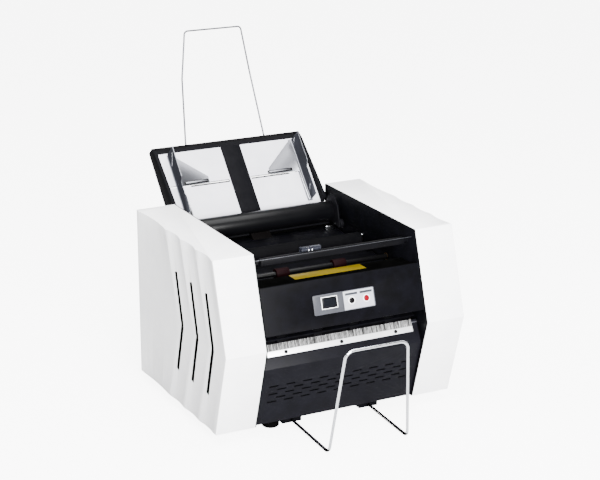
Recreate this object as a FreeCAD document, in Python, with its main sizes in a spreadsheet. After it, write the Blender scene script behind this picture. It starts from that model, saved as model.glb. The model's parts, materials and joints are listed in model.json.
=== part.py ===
import FreeCAD, Part
import math
import os
import re
import Sketcher

# Desk paper folding machine with a leaning feed tray, four folding rollers and a wire output stop.
# Frame: +Z up, front towards -Y, +X to the right seen from the front, origin on the floor.
# "depth" is measured forwards from the rear face of the side covers.

doc = FreeCAD.newDocument("FoldingMachine")
sizes = doc.addObject("Spreadsheet::Sheet", "Sizes")

driving = {
    # whole machine
    "overall_width": "500",
    "cover_width": "80.6",
    "foot_height": "24.5",
    "cover_lift": "19",
    "cover_height": "338",
    "nose_rise": "167.5",
    "top_depth": "363.2",
    "nose_depth": "416.2",
    "base_depth": "364.2",
    "running_gap": "0.3",
    "slip_gap": "0.5",
    # side covers
    "cover_wall": "3",
    "outer_wall": "9",
    "pleat_depth": "4.5",
    "pleat_middle": "0.9",
    "pleat_low": "3.2",
    "pleat_pitch": "69.5",
    "pleat_start": "147",
    "pleat_valley": "18.7",
    "pleat_end": "8",
    "vent_width": "6",
    "vent_half_height": "98",
    # sheet metal frame
    "plate_thick": "2.4",
    "sheet_thick": "2",
    "plate_inset": "0.2",
    "rear_flange": "12",
    "foot_edge": "2",
    "foot_radius": "16.5",
    "foot_offset": "120",
    "front_foot": "328",
    "right_foot": "278",
    "rear_foot": "40",
    "rod_radius": "6",
    "rod_rise": "62",
    "high_rod_depth": "100",
    "high_rod_rise": "160",
    "cover_edge": "1.6",
    # front panels
    "panel_foot_rise": "192",
    "panel_top_rise": "278",
    "shelf_drop": "8",
    "shelf_depth": "317",
    "lip_width": "5",
    "return_depth": "19",
    "lower_recess": "4",
    "crease_rise": "124",
    "crease_depth": "397.4",
    "facet_rise": "163",
    "facet_depth": "376.5",
    "vent_slot_length": "19",
    "vent_slot_height": "3",
    "vent_pitch": "35",
    "vent_row_pitch": "8.6",
    "vent_row_rise": "83",
    "panel_lift": "2",
    # control plate
    "control_rise": "232.5",
    "control_width": "128",
    "control_height": "37",
    "control_thick": "1.6",
    "display_width": "33.4",
    "display_height": "22.8",
    "display_offset": "31.1",
    "display_shift": "2",
    "button_radius": "5.2",
    "button_proud": "2.4",
    "button_travel": "1.2",
    "start_offset": "15.2",
    "stop_offset": "46.1",
    "button_drop": "1",
    "board_gap": "12",
    "board_thick": "1.6",
    "board_margin": "7",
    "post_radius": "2",
    "post_margin": "10",
    "control_margin": "5",
    "control_corner": "2.5",
    "bezel_width": "2.4",
    "bezel_proud": "0.5",
    "screen_drop": "0.3",
    "button_edge": "0.8",
    "collar_width": "1.5",
    "collar_gap": "1",
    # brush at the exit
    "brush_half": "153.5",
    "holder_rise": "143.5",
    "holder_height": "10.5",
    "brush_height": "13",
    "holder_thick": "2.6",
    "brush_thick": "2",
    "screw_offset": "116",
    "screw_radius": "3.5",
    "screw_head": "1.8",
    "holder_edge": "0.8",
    "brush_inset": "1",
    # bar over the front opening
    "bar_half": "150",
    "bar_depth": "355",
    "bar_rise": "310",
    "bar_height": "12",
    "bar_thick": "11",
    "bar_bevel": "3",
    "block_offset": "60",
    "block_width": "40",
    "block_depth": "12",
    "block_rise": "6",
    "block_bevel": "4",
    # deck below the feed roller
    "deck_rise": "256.8",
    "deck_rear": "31",
    "deck_fold": "69.6",
    "deck_front": "124",
    "deck_drop": "6",
    "latch_length": "26",
    "latch_width": "13",
    "latch_offset": "150",
    "latch_depth": "53",
    "latch_drop": "11",
    "latch_reach": "8",
    "latch_stem": "2.5",
    "latch_pin": "3",
    "latch_end_gap": "4",
    "latch_hub": "1.5",
    # feed roller
    "feed_radius": "21.4",
    "feed_half": "157",
    "feed_depth": "40",
    "feed_rise": "290.9",
    "shaft_radius": "5",
    "fit_gap": "0.06",
    "tyre_radius": "17",
    "tyre_width": "26",
    "tyre_offset": "60",
    "tyre_back": "4",
    "tyre_drop": "5.9",
    "shell_wall": "2",
    "pad_width": "42",
    "pad_gap": "0.7",
    "pad_rear": "1",
    "pad_front": "18",
    "pad_slope": "12",
    "shell_end": "4",
    "arm_radius": "38",
    "arm_thick": "3",
    "cap_radius": "9",
    "cap_depth": "75.5",
    "cap_rise": "273.5",
    # folding rollers
    "roller_radius": "15",
    "roller_pitch": "30.4",
    "roller_half": "163",
    "first_depth": "155.2",
    "first_rise": "231",
    "gear_teeth": "16",
    "drive_teeth": "32",
    "pinion_teeth": "12",
    "gear_width": "8",
    "gear_gap": "2",
    "bush_radius": "8",
    # fold plates and exit
    "plate_envelope": "8",
    "plate_slit": "3",
    "lower_plate_foot": "43",
    "upper_plate_front": "345",
    "plate_mouth": "4.4",
    "mouth_lip": "0.5",
    "mouth_flare": "8",
    "mouth_gap": "1.5",
    "pocket_end": "4",
    "guide_tail": "2",
    "guide_nose": "5",
    "wheel_window": "15",
    "window_slack": "2",
    "exit_depth": "352",
    "exit_rise": "161",
    "exit_wheel_radius": "16",
    "exit_wheel_width": "20",
    "exit_wheel_offset": "38",
    "wheel_radius": "10.2",
    "wheel_width": "27",
    "wheel_offset": "61",
    "wheel_depth": "258",
    "wheel_rise": "255",
    "exit_guide_rise": "170",
    # tray
    "tray_lean": "48.73",
    "tray_overhang": "2.3",
    "tray_rise": "299.7",
    "tray_half": "166.5",
    "tray_length": "170.3",
    "tray_back": "27",
    "tray_wall": "3",
    "band_back": "6.7",
    "cheek_width": "6.8",
    "cheek_foot": "18",
    "panel_top_reach": "152",
    "panel_thick": "1.5",
    "web_thick": "3",
    "panel_tail": "50",
    "strip_half": "22.1",
    "guide_line": "76.5",
    "guide_slot": "3.4",
    "slot_start": "24.5",
    "slot_end": "3",
    "socket_drop": "12",
    "socket_depth": "15",
    "hub_radius": "3",
    "hub_length": "3",
    "guide_offset": "140",
    "guide_sheet": "1.2",
    "guide_height": "38",
    "guide_low_height": "28",
    "guide_foot": "8",
    "guide_step": "72",
    "guide_ramp": "10",
    "guide_lip": "3",
    "wing_drop": "14",
    "wing_overlap": "1",
    "wing_inner": "68.5",
    "wing_reach": "149",
    "fold_radius": "3",
    "neck_offset": "132",
    "neck_width": "8",
    "neck_half": "1.2",
    "guide_out": "14",
    "rack_module": "1.5",
    "rack_teeth": "16",
    "rack_bar": "7",
    "rack_thick": "2.8",
    "rack_overlap": "12",
    "rack_steps": "16",
    # wires
    "support_radius": "1.75",
    "support_low_bend": "12",
    "support_kink_bend": "20",
    "support_top_bend": "8",
    "support_foot": "88.5",
    "support_kink": "76.4",
    "support_top": "62.8",
    "support_foot_reach": "126.5",
    "support_foot_rise": "423",
    "support_kink_reach": "166.4",
    "support_kink_rise": "549.6",
    "support_reach": "180.7",
    "support_rise": "644.8",
    "bail_radius": "2.7",
    "bail_floor_bend": "14",
    "bail_top_bend": "18",
    "bail_half": "82.5",
    "bail_top_half": "63.4",
    "bail_floor_depth": "494.1",
    "bail_top_depth": "522.2",
    "bail_top_rise": "186.2",
    "bail_slope": "2.9",
    "bail_tail": "240",
    "bail_guide_width": "40",
    "bail_guide_depth": "300",
    "bail_guide_length": "44",
    # drive
    "motor_radius": "29",
    "motor_length": "80",
    "belt_inner": "12",
    "belt_thick": "2",
    "belt_width": "6",
    "motor_shaft": "4",
    "motor_edge": "4",
    "shaft_seat": "20",
    "shaft_reach": "19",
    "inlet_width": "48",
    "inlet_height": "28",
    "inlet_depth": "30",
    "inlet_offset": "100",
    "inlet_rise": "62",
    "inlet_flange": "3",
    "inlet_proud": "1.5",
    "socket_height_margin": "4",
    "socket_width": "24",
    "socket_bore": "11.5",
    "rocker_width": "12",
    "rocker_height": "19",
    "rocker_slack": "1.2",
    "rocker_back": "4",
    "rocker_face": "5",
    "rocker_root": "2",
    "rocker_dip": "3.4",
}

derived = {
    "back_face": "(bail_top_depth + bail_radius - support_reach - support_radius) / 2",
    "half_width": "overall_width / 2",
    "inner_half": "half_width - cover_width",
    "plate_half": "inner_half - plate_thick",
    "sheet_half": "plate_half - slip_gap",
    "cover_top": "cover_lift + cover_height",
    "nose_height": "cover_lift + nose_rise",
    "front_lean": "atan((nose_depth - top_depth) / (cover_height - nose_rise)) / 1 deg",
    "panel_foot": "cover_lift + panel_foot_rise",
    "panel_top": "cover_lift + panel_top_rise",
    "shelf_top": "panel_top - shelf_drop",
    "control_height_mid": "cover_lift + control_rise",
    "bar_foot": "cover_lift + bar_rise",
    "bar_top": "bar_foot + bar_height",
    "deck_top": "cover_lift + deck_rise",
    "feed_height": "cover_lift + feed_rise",
    "cap_height": "cover_lift + cap_rise",
    "first_height": "cover_lift + first_rise",
    "exit_height": "cover_lift + exit_rise",
    "exit_guide_top": "cover_lift + exit_guide_rise",
    "tray_height": "cover_lift + tray_rise",
    "gear_module": "roller_pitch / gear_teeth",
    "drive_pitch": "gear_module * drive_teeth",
    "pinion_pitch": "gear_module * pinion_teeth",
    "drive_drop": "(roller_pitch + drive_pitch) / 2",
    "pinion_reach": "(drive_pitch + pinion_pitch) / 2",
    "rack_radius": "rack_module * rack_teeth / 2",
    "feed_shaft_depth": "feed_depth - tyre_back",
    "feed_shaft_height": "feed_height - tyre_drop",
    "second_depth": "first_depth + roller_pitch",
    "third_height": "first_height - roller_pitch",
    "drive_height": "third_height - drive_drop",
    "pinion_depth": "second_depth + pinion_reach",
    "wheel_height": "cover_lift + wheel_rise",
    "latch_height": "deck_top - latch_drop",
    "facet_lean": "atan((crease_depth - facet_depth) / (facet_rise - crease_rise)) / 1 deg",
    "holder_up": "(holder_rise - crease_rise) / cos(facet_lean)",
    "web_back": "panel_thick + web_thick",
    "pulley_radius": "belt_inner - running_gap",
    "bail_floor": "bail_radius + 0.1",
    "inlet_height_mid": "cover_lift + inlet_rise",
    "guide_reach": "bail_floor_depth - bail_guide_depth",
    "rocker_offset": "inlet_offset + inlet_width / 2 - rocker_width / 2 - inlet_flange",
    "slot_far": "neck_offset + neck_width / 2 + guide_out + slot_end",
    "rack_floor": "0 - web_back - running_gap - rack_thick",
    "nose_lean": "nose_depth - top_depth",
    "foot_lean": "nose_depth - base_depth",
    "guide_hole_low": "bail_floor - bail_radius - running_gap"
                      " + (guide_reach - bail_guide_length) * tan(bail_slope)",
    "guide_hole_high": "bail_floor + bail_radius + running_gap + guide_reach * tan(bail_slope)",
    "gear_side": "inner_half + gear_gap",
    "base_top": "foot_height + sheet_thick",
}


def fill_sheet():
    """Write each value beside its name and give the cell that name as its alias."""
    row = 1
    for name, value in list(driving.items()) + [(key, "=" + rule) for key, rule in derived.items()]:
        sizes.set("A%d" % row, name)
        sizes.set("B%d" % row, value)
        sizes.setAlias("B%d" % row, name)
        row += 1
    doc.recompute()


fill_sheet()
names = set(driving) | set(derived)


def size(name):
    """The present number of one named size."""
    return float(getattr(sizes, name))


def linked(rule):
    """Turn the names in a rule into references to the sheet."""
    return re.sub(r"[a-z][a-z_]*", lambda word: "Sizes." + word.group() if word.group() in names
                  else word.group(), rule)


def tie(item, prop, rule):
    item.setExpression(prop, linked(rule))


# Points

def at(depth, height):
    """Sketch point of the side view, from a depth and a height."""
    return "back_face - (%s)" % depth, height


def slope_depth(rise):
    """Depth of the upper front face of the covers at a rise above their foot."""
    return "nose_depth - ((%s) - nose_rise) * nose_lean / (cover_height - nose_rise)" % rise


# Bodies, sketches and features

def new_body(name):
    body = doc.addObject("PartDesign::Body", name)
    body.Label = name
    body.AllowCompound = True
    return body


def origin_part(body, role):
    for feature in body.Origin.OriginFeatures:
        if feature.Role == role:
            return feature
    raise ValueError("no origin part " + role)


def new_sketch(body, role, start):
    sketch = body.newObject("Sketcher::SketchObject", body.Name + "_sketch")
    sketch.AttachmentSupport = (origin_part(body, role), [""])
    sketch.MapMode = "FlatFace"
    tie(sketch, "AttachmentOffset.Base.z", start)
    return sketch


def add_polygon(sketch, corners):
    """Closed outline whose every corner is held by two tied distances from the origin."""
    count = len(corners)
    first = sketch.GeometryCount
    spots = []
    for index in range(count):
        turn = 2 * math.pi * index / count
        spots.append(FreeCAD.Vector(50 * math.cos(turn), 50 * math.sin(turn), 0))
    for index in range(count):
        sketch.addGeometry(Part.LineSegment(spots[index], spots[(index + 1) % count]), False)
    constraints = []
    rules = []
    for index in range(count):
        following = first + (index + 1) % count
        constraints.append(Sketcher.Constraint("Coincident", first + index, 2, following, 1))
    for index, (across, up) in enumerate(corners):
        rules.append((len(constraints), across))
        constraints.append(Sketcher.Constraint("DistanceX", -1, 1, first + index, 1, spots[index].x))
        rules.append((len(constraints), up))
        constraints.append(Sketcher.Constraint("DistanceY", -1, 1, first + index, 1, spots[index].y))
    base = sketch.ConstraintCount
    sketch.addConstraint(constraints)
    for index, rule in rules:
        tie(sketch, "Constraints[%d]" % (base + index), rule)


def add_circle(sketch, across, up, radius):
    edge = sketch.GeometryCount
    sketch.addGeometry(Part.Circle(FreeCAD.Vector(1, 1, 0), FreeCAD.Vector(0, 0, 1), 5), False)
    base = sketch.ConstraintCount
    sketch.addConstraint([
        Sketcher.Constraint("DistanceX", -1, 1, edge, 3, 1.0),
        Sketcher.Constraint("DistanceY", -1, 1, edge, 3, 1.0),
        Sketcher.Constraint("Radius", edge, 5.0),
    ])
    tie(sketch, "Constraints[%d]" % base, across)
    tie(sketch, "Constraints[%d]" % (base + 1), up)
    tie(sketch, "Constraints[%d]" % (base + 2), radius)


def fill_sketch(body, role, start, outlines, circles):
    sketch = new_sketch(body, role, start)
    for corners in outlines:
        add_polygon(sketch, corners)
    for circle in circles:
        add_circle(sketch, *circle)
    return sketch


def pad(body, role, start, length, outlines=(), circles=()):
    """Add material from the plane at start, for a length along the plane's normal."""
    feature = body.newObject("PartDesign::Pad", body.Name + "_pad")
    sketch = fill_sketch(body, role, start, outlines, circles)
    feature.Profile = sketch
    tie(feature, "Length", length)
    body.Tip = feature
    return feature


def cut(body, role, start, length, outlines=(), circles=()):
    """Remove material from the plane at start, for a length along the plane's normal."""
    doc.recompute()
    before = body.Shape.Volume
    feature = body.newObject("PartDesign::Pocket", body.Name + "_pocket")
    feature.Profile = fill_sketch(body, role, start, outlines, circles)
    feature.Reversed = True
    tie(feature, "Length", length)
    body.Tip = feature
    doc.recompute()
    if body.Shape.Volume >= before - 1e-6:
        raise RuntimeError(body.Name + ": a pocket removed nothing")
    return feature


def loft_cut(body, role, sections):
    """Remove the solid that runs between outlines on parallel planes."""
    doc.recompute()
    before = body.Shape.Volume
    feature = body.newObject("PartDesign::SubtractiveLoft", body.Name + "_loft")
    sketches = [fill_sketch(body, role, start, [corners], ()) for start, corners in sections]
    feature.Profile = sketches[0]
    feature.Sections = sketches[1:]
    feature.Ruled = True
    body.Tip = feature
    doc.recompute()
    if body.Shape.Volume >= before - 1e-6:
        raise RuntimeError(body.Name + ": a loft removed nothing")
    return feature


def row_of(body, feature, axis, length, count):
    """Repeat a feature along one axis of the body."""
    pattern = body.newObject("PartDesign::LinearPattern", body.Name + "_row")
    pattern.Originals = [feature]
    pattern.Direction = (origin_part(body, axis), [""])
    tie(pattern, "Length", length)
    tie(pattern, "Occurrences", count)
    body.Tip = pattern
    return pattern


def ring_of(body, feature, axis, count):
    """Repeat a feature all round one axis of the body."""
    pattern = body.newObject("PartDesign::PolarPattern", body.Name + "_ring")
    pattern.Originals = [feature]
    pattern.Axis = (origin_part(body, axis), [""])
    pattern.Angle = 360
    tie(pattern, "Occurrences", count)
    body.Tip = pattern
    return pattern


def picked_edges(body, choose):
    """The last feature of a body and the names of its edges that the test picks out."""
    doc.recompute()
    base = body.Tip
    picked = ["Edge%d" % (index + 1) for index, edge in enumerate(base.Shape.Edges)
              if choose(edge)]
    if not picked:
        raise RuntimeError(body.Name + ": no edge to finish")
    return base, picked


def rounded(body, radius, choose):
    """Fillet the edges of the body's last shape that the test picks out."""
    chosen = picked_edges(body, choose)
    feature = body.newObject("PartDesign::Fillet", body.Name + "_fillet")
    feature.Base = chosen
    tie(feature, "Radius", radius)
    body.Tip = feature
    doc.recompute()
    return feature


def chamfered(body, width, choose):
    """Bevel the edges of the body's last shape that the test picks out."""
    chosen = picked_edges(body, choose)
    feature = body.newObject("PartDesign::Chamfer", body.Name + "_chamfer")
    feature.Base = chosen
    tie(feature, "Size", width)
    body.Tip = feature
    doc.recompute()
    return feature


def straight(edge, axis):
    """Whether an edge is a straight line parallel to one axis."""
    if edge.Curve.TypeId != "Part::GeomLine":
        return False
    return abs(getattr(edge.tangentAt(edge.FirstParameter), axis)) > 0.999


def body_edges(body, axis, height):
    """Straight edges of a body along one axis, at one height."""
    doc.recompute()
    return [edge for edge in body.Tip.Shape.Edges
            if straight(edge, axis) and abs(edge.CenterOfMass.z - height) < 0.01]


def place(body, across="0", depth_side="0", height="0", turn=None):
    """Tie the place of a body, and its turn about X when it leans."""
    if turn:
        body.Placement = FreeCAD.Placement(FreeCAD.Vector(), FreeCAD.Rotation(FreeCAD.Vector(1, 0, 0), 1))
        tie(body, "Placement.Rotation.Angle", turn)
    tie(body, "Placement.Base.x", across)
    tie(body, "Placement.Base.y", depth_side)
    tie(body, "Placement.Base.z", height)
    return body


def place_on_tray(body):
    """Put a body's origin at the foot of the tray, its Y up the tray and its Z out of it."""
    return place(body, "0", "back_face + tray_overhang", "tray_height", "tray_lean")


def place_on_front(body):
    """Put a body's origin at the middle of the control plate, its Z out of the front panel."""
    middle = "back_face - (%s)" % slope_depth("control_rise")
    return place(body, "0", middle, "control_height_mid", "90 - front_lean")


def place_on_facet(body):
    """Put a body's origin on the crease of the lower panel, its Z out of the upper facet."""
    return place(body, "0", "back_face - crease_depth", "cover_lift + crease_rise", "90 - facet_lean")


def slab(side, near, far):
    """Start of a slab between two distances from the middle, for the left (-1) or right (1) side."""
    return near if side > 0 else "0 - (%s)" % far


def rectangle(left, low, right, high):
    return [(left, low), (right, low), (right, high), (left, high)]


def level(start_depth):
    """Start of a feature on an upright cross plane, counted towards the front."""
    return "(%s) - back_face" % start_depth


pieces = []


def keep(item):
    pieces.append(item)
    return item


# Side covers

def profile_corners(inset="0"):
    """Six-sided side view of the machine, from the rear foot round to the rear top."""
    return [at(inset, "cover_lift + %s" % inset), at("base_depth - %s" % inset, "cover_lift + %s" % inset),
            at("nose_depth - 1.02 * %s" % inset, "nose_height"),
            at("top_depth - 0.86 * %s" % inset, "cover_top - %s" % inset),
            at(inset, "cover_top - %s" % inset)]


def pleat_outline(side, near, far, hollow):
    """Outline of one pleat seen from above: a shallow curved hollow between two depths."""
    outer = "half_width * %d" % side
    outside = "%s + %d" % (outer, side)
    steps = 6
    curve = []
    for step in range(steps + 1):
        sink = "%s * %d / %d" % (hollow, 4 * step * (steps - step), steps * steps)
        curve.append(("%s - %d * %s" % (outer, side, sink),
                      "back_face - (%s) - (%s - (%s)) * %d / %d" % (near, far, near, step, steps)))
    return [(outside, curve[0][1])] + curve + [(outside, curve[-1][1])]


def pleat_sections(side, index):
    """Two lofts of one pleat, from the height of the nose to above the top and below the foot."""
    first = "pleat_start + %d * pleat_pitch" % (index - 1)
    last = "pleat_start + %d * pleat_pitch" % index
    rise = "(cover_height - nose_rise + 1)"
    drop = "(nose_rise + 1)"
    upper = "nose_lean * (1 - %s / (cover_height - nose_rise))" % rise
    lower = "nose_lean - foot_lean * %s / nose_rise" % drop
    levels = [("nose_height", "nose_lean", "pleat_middle"),
              ("nose_height + %s" % rise, upper, "pleat_depth"),
              ("nose_height - %s" % drop, lower, "pleat_low")]
    outlines = []
    for height, shift, hollow in levels:
        near = "%s + %s" % (first, shift) if index else "pleat_end"
        outlines.append((height, pleat_outline(side, near, "%s + %s" % (last, shift), hollow)))
    return [[outlines[0], outlines[1]], [outlines[0], outlines[2]]]


def chevron(index):
    """Outline of one slanted vent, bent at the height of the nose."""
    elbow = "back_face - (nose_lean + pleat_start + pleat_valley + %d * pleat_pitch)" % index
    upper = "vent_half_height * nose_lean / (cover_height - nose_rise)"
    lower = "vent_half_height * foot_lean / nose_rise"
    half = "vent_width / 2"
    rows = [("nose_height + vent_half_height", upper), ("nose_height", "0"),
            ("nose_height - vent_half_height", lower)]
    front = [("%s + %s - %s" % (elbow, shift, half), height) for height, shift in rows]
    rear = [("%s + %s + %s" % (elbow, shift, half), height) for height, shift in reversed(rows)]
    return front + rear


def make_cover(name, side):
    body = new_body(name)
    pad(body, "YZ_Plane", slab(side, "inner_half", "half_width"), "cover_width",
        [profile_corners()])
    face = size("half_width") * side
    rounded(body, "cover_edge", lambda edge: abs(edge.CenterOfMass.x - face) < 0.01)
    cut(body, "YZ_Plane", slab(side, "inner_half - 1", "half_width - outer_wall"),
        "cover_width - outer_wall + 1", [profile_corners("cover_wall")])
    for index in range(4):
        for sections in pleat_sections(side, index):
            loft_cut(body, "XY_Plane", sections)
    cut(body, "YZ_Plane", slab(side, "half_width - outer_wall - 1", "half_width + 1"),
        "outer_wall + 2", [chevron(index) for index in range(3)])
    return keep(body)


# Sheet metal frame

journals = [("feed_shaft_depth", "feed_shaft_height"), ("first_depth", "first_height + roller_pitch"),
            ("first_depth", "first_height"), ("second_depth", "first_height"),
            ("second_depth", "third_height"), ("exit_depth", "exit_height"),
            ("wheel_depth", "wheel_height")]


def side_view(depth, height, radius):
    return at(depth, height) + (radius,)


def make_side_plate(name, side):
    body = new_body(name)
    pad(body, "YZ_Plane", slab(side, "plate_half", "inner_half"), "plate_thick",
        [profile_corners("plate_inset")])
    holes = [side_view(depth, height, "bush_radius + fit_gap") for depth, height in journals]
    if side > 0:
        holes.append(side_view("pinion_depth", "drive_height", "motor_shaft + slip_gap"))
        holes.append(side_view("latch_depth", "latch_height", "latch_pin + fit_gap"))
    cut(body, "YZ_Plane", slab(side, "plate_half - 1", "inner_half + 1"), "plate_thick + 2",
        circles=holes)
    if side > 0:
        pad(body, "YZ_Plane", "inner_half", "gear_gap + gear_width",
            circles=[side_view("second_depth", "drive_height", "shaft_radius")])
    return keep(body)


def make_bushes():
    """Plain bearings in both side plates, one pair for each turning shaft."""
    body = new_body("shaft_bushes")
    rings = [side_view(depth, height, "bush_radius") for depth, height in journals]
    rings += [side_view(depth, height, "shaft_radius + fit_gap") for depth, height in journals]
    for side in (-1, 1):
        pad(body, "YZ_Plane", slab(side, "plate_half", "inner_half"), "plate_thick", circles=rings)
    return keep(body)


def make_base_plate():
    """Bottom plate with an upturned rear flange and the two guides of the wire stop."""
    body = new_body("base_plate")
    pad(body, "YZ_Plane", "0 - sheet_half", "2 * sheet_half",
        [[at("plate_inset", "foot_height"), at("base_depth - lower_recess - sheet_thick", "foot_height"),
          at("base_depth - lower_recess - sheet_thick", "base_top"),
          at("plate_inset + sheet_thick", "base_top"),
          at("plate_inset + sheet_thick", "base_top + rear_flange"),
          at("plate_inset", "base_top + rear_flange")]])
    for side in (-1, 1):
        middle = "%d * bail_half" % side
        half = "bail_guide_width / 2"
        hole = "bail_radius + running_gap"
        pad(body, "XZ_Plane", level("bail_guide_depth"), "bail_guide_length",
            [rectangle("%s - %s" % (middle, half), "guide_hole_low - sheet_thick",
                       "%s + %s" % (middle, half), "foot_height"),
             rectangle("%s - (%s)" % (middle, hole), "guide_hole_low",
                       "%s + %s" % (middle, hole), "guide_hole_high")])
    return keep(body)


def make_feet():
    body = new_body("rubber_feet")
    spots = [("%d * foot_offset" % side, "back_face - %s" % depth)
             for side, depth in ((-1, "front_foot"), (1, "right_foot"), (-1, "rear_foot"),
                                 (1, "rear_foot"))]
    pad(body, "XY_Plane", "0", "foot_height", circles=[spot + ("foot_radius",) for spot in spots])
    chamfered(body, "foot_edge", lambda edge: abs(edge.CenterOfMass.z) < 0.01)
    return keep(body)


def make_tie_rods():
    """Spacer rods that hold the two side plates apart."""
    body = new_body("tie_rods")
    spots = [("rear_foot", "cover_lift + rod_rise"), ("front_foot", "cover_lift + rod_rise"),
             ("high_rod_depth", "cover_lift + high_rod_rise")]
    pad(body, "YZ_Plane", "0 - plate_half", "2 * plate_half",
        circles=[side_view(depth, height, "rod_radius") for depth, height in spots])
    return keep(body)


def make_rear_panel():
    """Rear sheet with a row of vent slots and the opening of the mains inlet."""
    body = new_body("rear_panel")
    pad(body, "XZ_Plane", level("plate_inset + sheet_thick"), "sheet_thick",
        [rectangle("0 - sheet_half", "base_top + running_gap", "sheet_half", "deck_top - latch_drop")])
    opening = rectangle("inlet_offset - inlet_width / 2", "inlet_height_mid - inlet_height / 2",
                        "inlet_offset + inlet_width / 2", "inlet_height_mid + inlet_height / 2")
    cut(body, "XZ_Plane", level("0"), "10", [opening])
    for row in range(3):
        low = "nose_height + %d * 3 * vent_row_pitch - nose_rise / 3" % row
        slot = rectangle("0 - 4 * vent_pitch - vent_slot_length / 2", low,
                         "0 - 4 * vent_pitch + vent_slot_length / 2", "%s + vent_slot_height" % low)
        first = cut(body, "XZ_Plane", level("0"), "10", [slot])
        row_of(body, first, "X_Axis", "8 * vent_pitch", "9")
    return keep(body)


# Front panels

def make_upper_front_panel():
    """Folded sheet: raised top lip, level shelf behind it, slanted face and lower return."""
    body = new_body("upper_front_panel")
    skin = "sheet_thick / cos(front_lean)"
    top = slope_depth("panel_top_rise")
    under = slope_depth("panel_top_rise - shelf_drop - sheet_thick")
    foot = slope_depth("panel_foot_rise")
    pad(body, "YZ_Plane", "0 - sheet_half", "2 * sheet_half",
        [[at(foot, "panel_foot"), at(top, "panel_top"), at("%s - lip_width" % top, "panel_top"),
          at("%s - lip_width" % top, "shelf_top"), at("shelf_depth", "shelf_top"),
          at("shelf_depth", "shelf_top - sheet_thick"),
          at("%s - %s" % (under, skin), "shelf_top - sheet_thick"),
          at("%s - %s" % (slope_depth("panel_foot_rise + sheet_thick"), skin), "panel_foot + sheet_thick"),
          at("%s - return_depth" % foot, "panel_foot + sheet_thick"),
          at("%s - return_depth" % foot, "panel_foot")]])
    for height, radius in (("panel_top", "lip_width * 0.4"), ("panel_foot", "sheet_thick * 0.6")):
        front = min(edge.CenterOfMass.y for edge in body_edges(body, "x", size(height)))
        rounded(body, radius, lambda edge: straight(edge, "x")
                and abs(edge.CenterOfMass.z - size(height)) < 0.01
                and abs(edge.CenterOfMass.y - front) < 0.01)
    cut(body, "XZ_Plane", level("shelf_depth + 40"), "80",
        [rectangle("0 - control_width / 2 + control_margin",
                   "control_height_mid - control_height / 2 + control_margin",
                   "control_width / 2 - control_margin",
                   "control_height_mid + control_height / 2 - control_margin")])
    return keep(body)


def make_lower_front_panel():
    """Creased sheet with five staggered rows of vent slots."""
    body = new_body("lower_front_panel")
    skin = "sheet_thick * 1.05"
    foot = "base_depth - lower_recess"
    pad(body, "YZ_Plane", "0 - sheet_half", "2 * sheet_half",
        [[at(foot, "cover_lift + panel_lift"), at("crease_depth", "cover_lift + crease_rise"),
          at("facet_depth", "cover_lift + facet_rise"),
          at("facet_depth - %s" % skin, "cover_lift + facet_rise"),
          at("crease_depth - %s" % skin, "cover_lift + crease_rise - 1"),
          at("%s - %s" % (foot, skin), "cover_lift + panel_lift")]])
    for row in range(5):
        count = 9 - row % 2
        left = "0 - %d * vent_pitch / 2 - vent_slot_length / 2" % (count - 1)
        low = "cover_lift + vent_row_rise + %d * vent_row_pitch - 4 * vent_row_pitch" % (4 - row)
        slot = rectangle(left, low, "%s + vent_slot_length" % left, "%s + vent_slot_height" % low)
        first = cut(body, "XZ_Plane", level("base_depth - 30"), "60", [slot])
        row_of(body, first, "X_Axis", "%d * vent_pitch" % (count - 1), str(count))
    return keep(body)


# Control plate, display and buttons

buttons = [("start_button", "start_offset"), ("stop_button", "stop_offset")]


def display_outline(slack):
    half = "(display_width / 2 - %s)" % slack
    tall = "(display_height / 2 - %s)" % slack
    return rectangle("0 - display_offset - %s" % half, "display_shift - %s" % tall,
                     "0 - display_offset + %s" % half, "display_shift + %s" % tall)


def make_control_plate():
    body = place_on_front(new_body("control_plate"))
    pad(body, "XY_Plane", "0", "control_thick",
        [rectangle("0 - control_width / 2", "0 - control_height / 2", "control_width / 2",
                   "control_height / 2")])
    rounded(body, "control_corner", lambda edge: edge.Length < size("control_thick") + 0.01)
    cut(body, "XY_Plane", "0 - 1", "control_thick + 2", [display_outline("0")],
        [(offset, "0 - button_drop", "button_radius + running_gap") for _, offset in buttons])
    return keep(body)


def make_display_window():
    """Thin bezel with the screen sunk into it."""
    body = place_on_front(new_body("display_window"))
    pad(body, "XY_Plane", "0 - control_thick", "2 * control_thick + bezel_proud",
        [display_outline("fit_gap")])
    cut(body, "XY_Plane", "control_thick - screen_drop", "2 * bezel_proud + screen_drop",
        [display_outline("bezel_width")])
    return keep(body)


def make_button(name, offset):
    """Round key with a collar behind the control plate that stops it from coming out."""
    body = place_on_front(new_body(name))
    pad(body, "XY_Plane", "0 - board_gap + button_travel + slip_gap",
        "board_gap - button_travel - slip_gap + control_thick + button_proud",
        circles=[(offset, "0 - button_drop", "button_radius")])
    face = size("control_thick") + size("button_proud")
    chamfered(body, "button_edge", lambda edge: abs(edge.CenterOfMass.z - face) < 0.01)
    pad(body, "XY_Plane", "0 - collar_gap - collar_width", "collar_width",
        circles=[(offset, "0 - button_drop", "button_radius + collar_width")])
    return keep(body)


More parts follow.
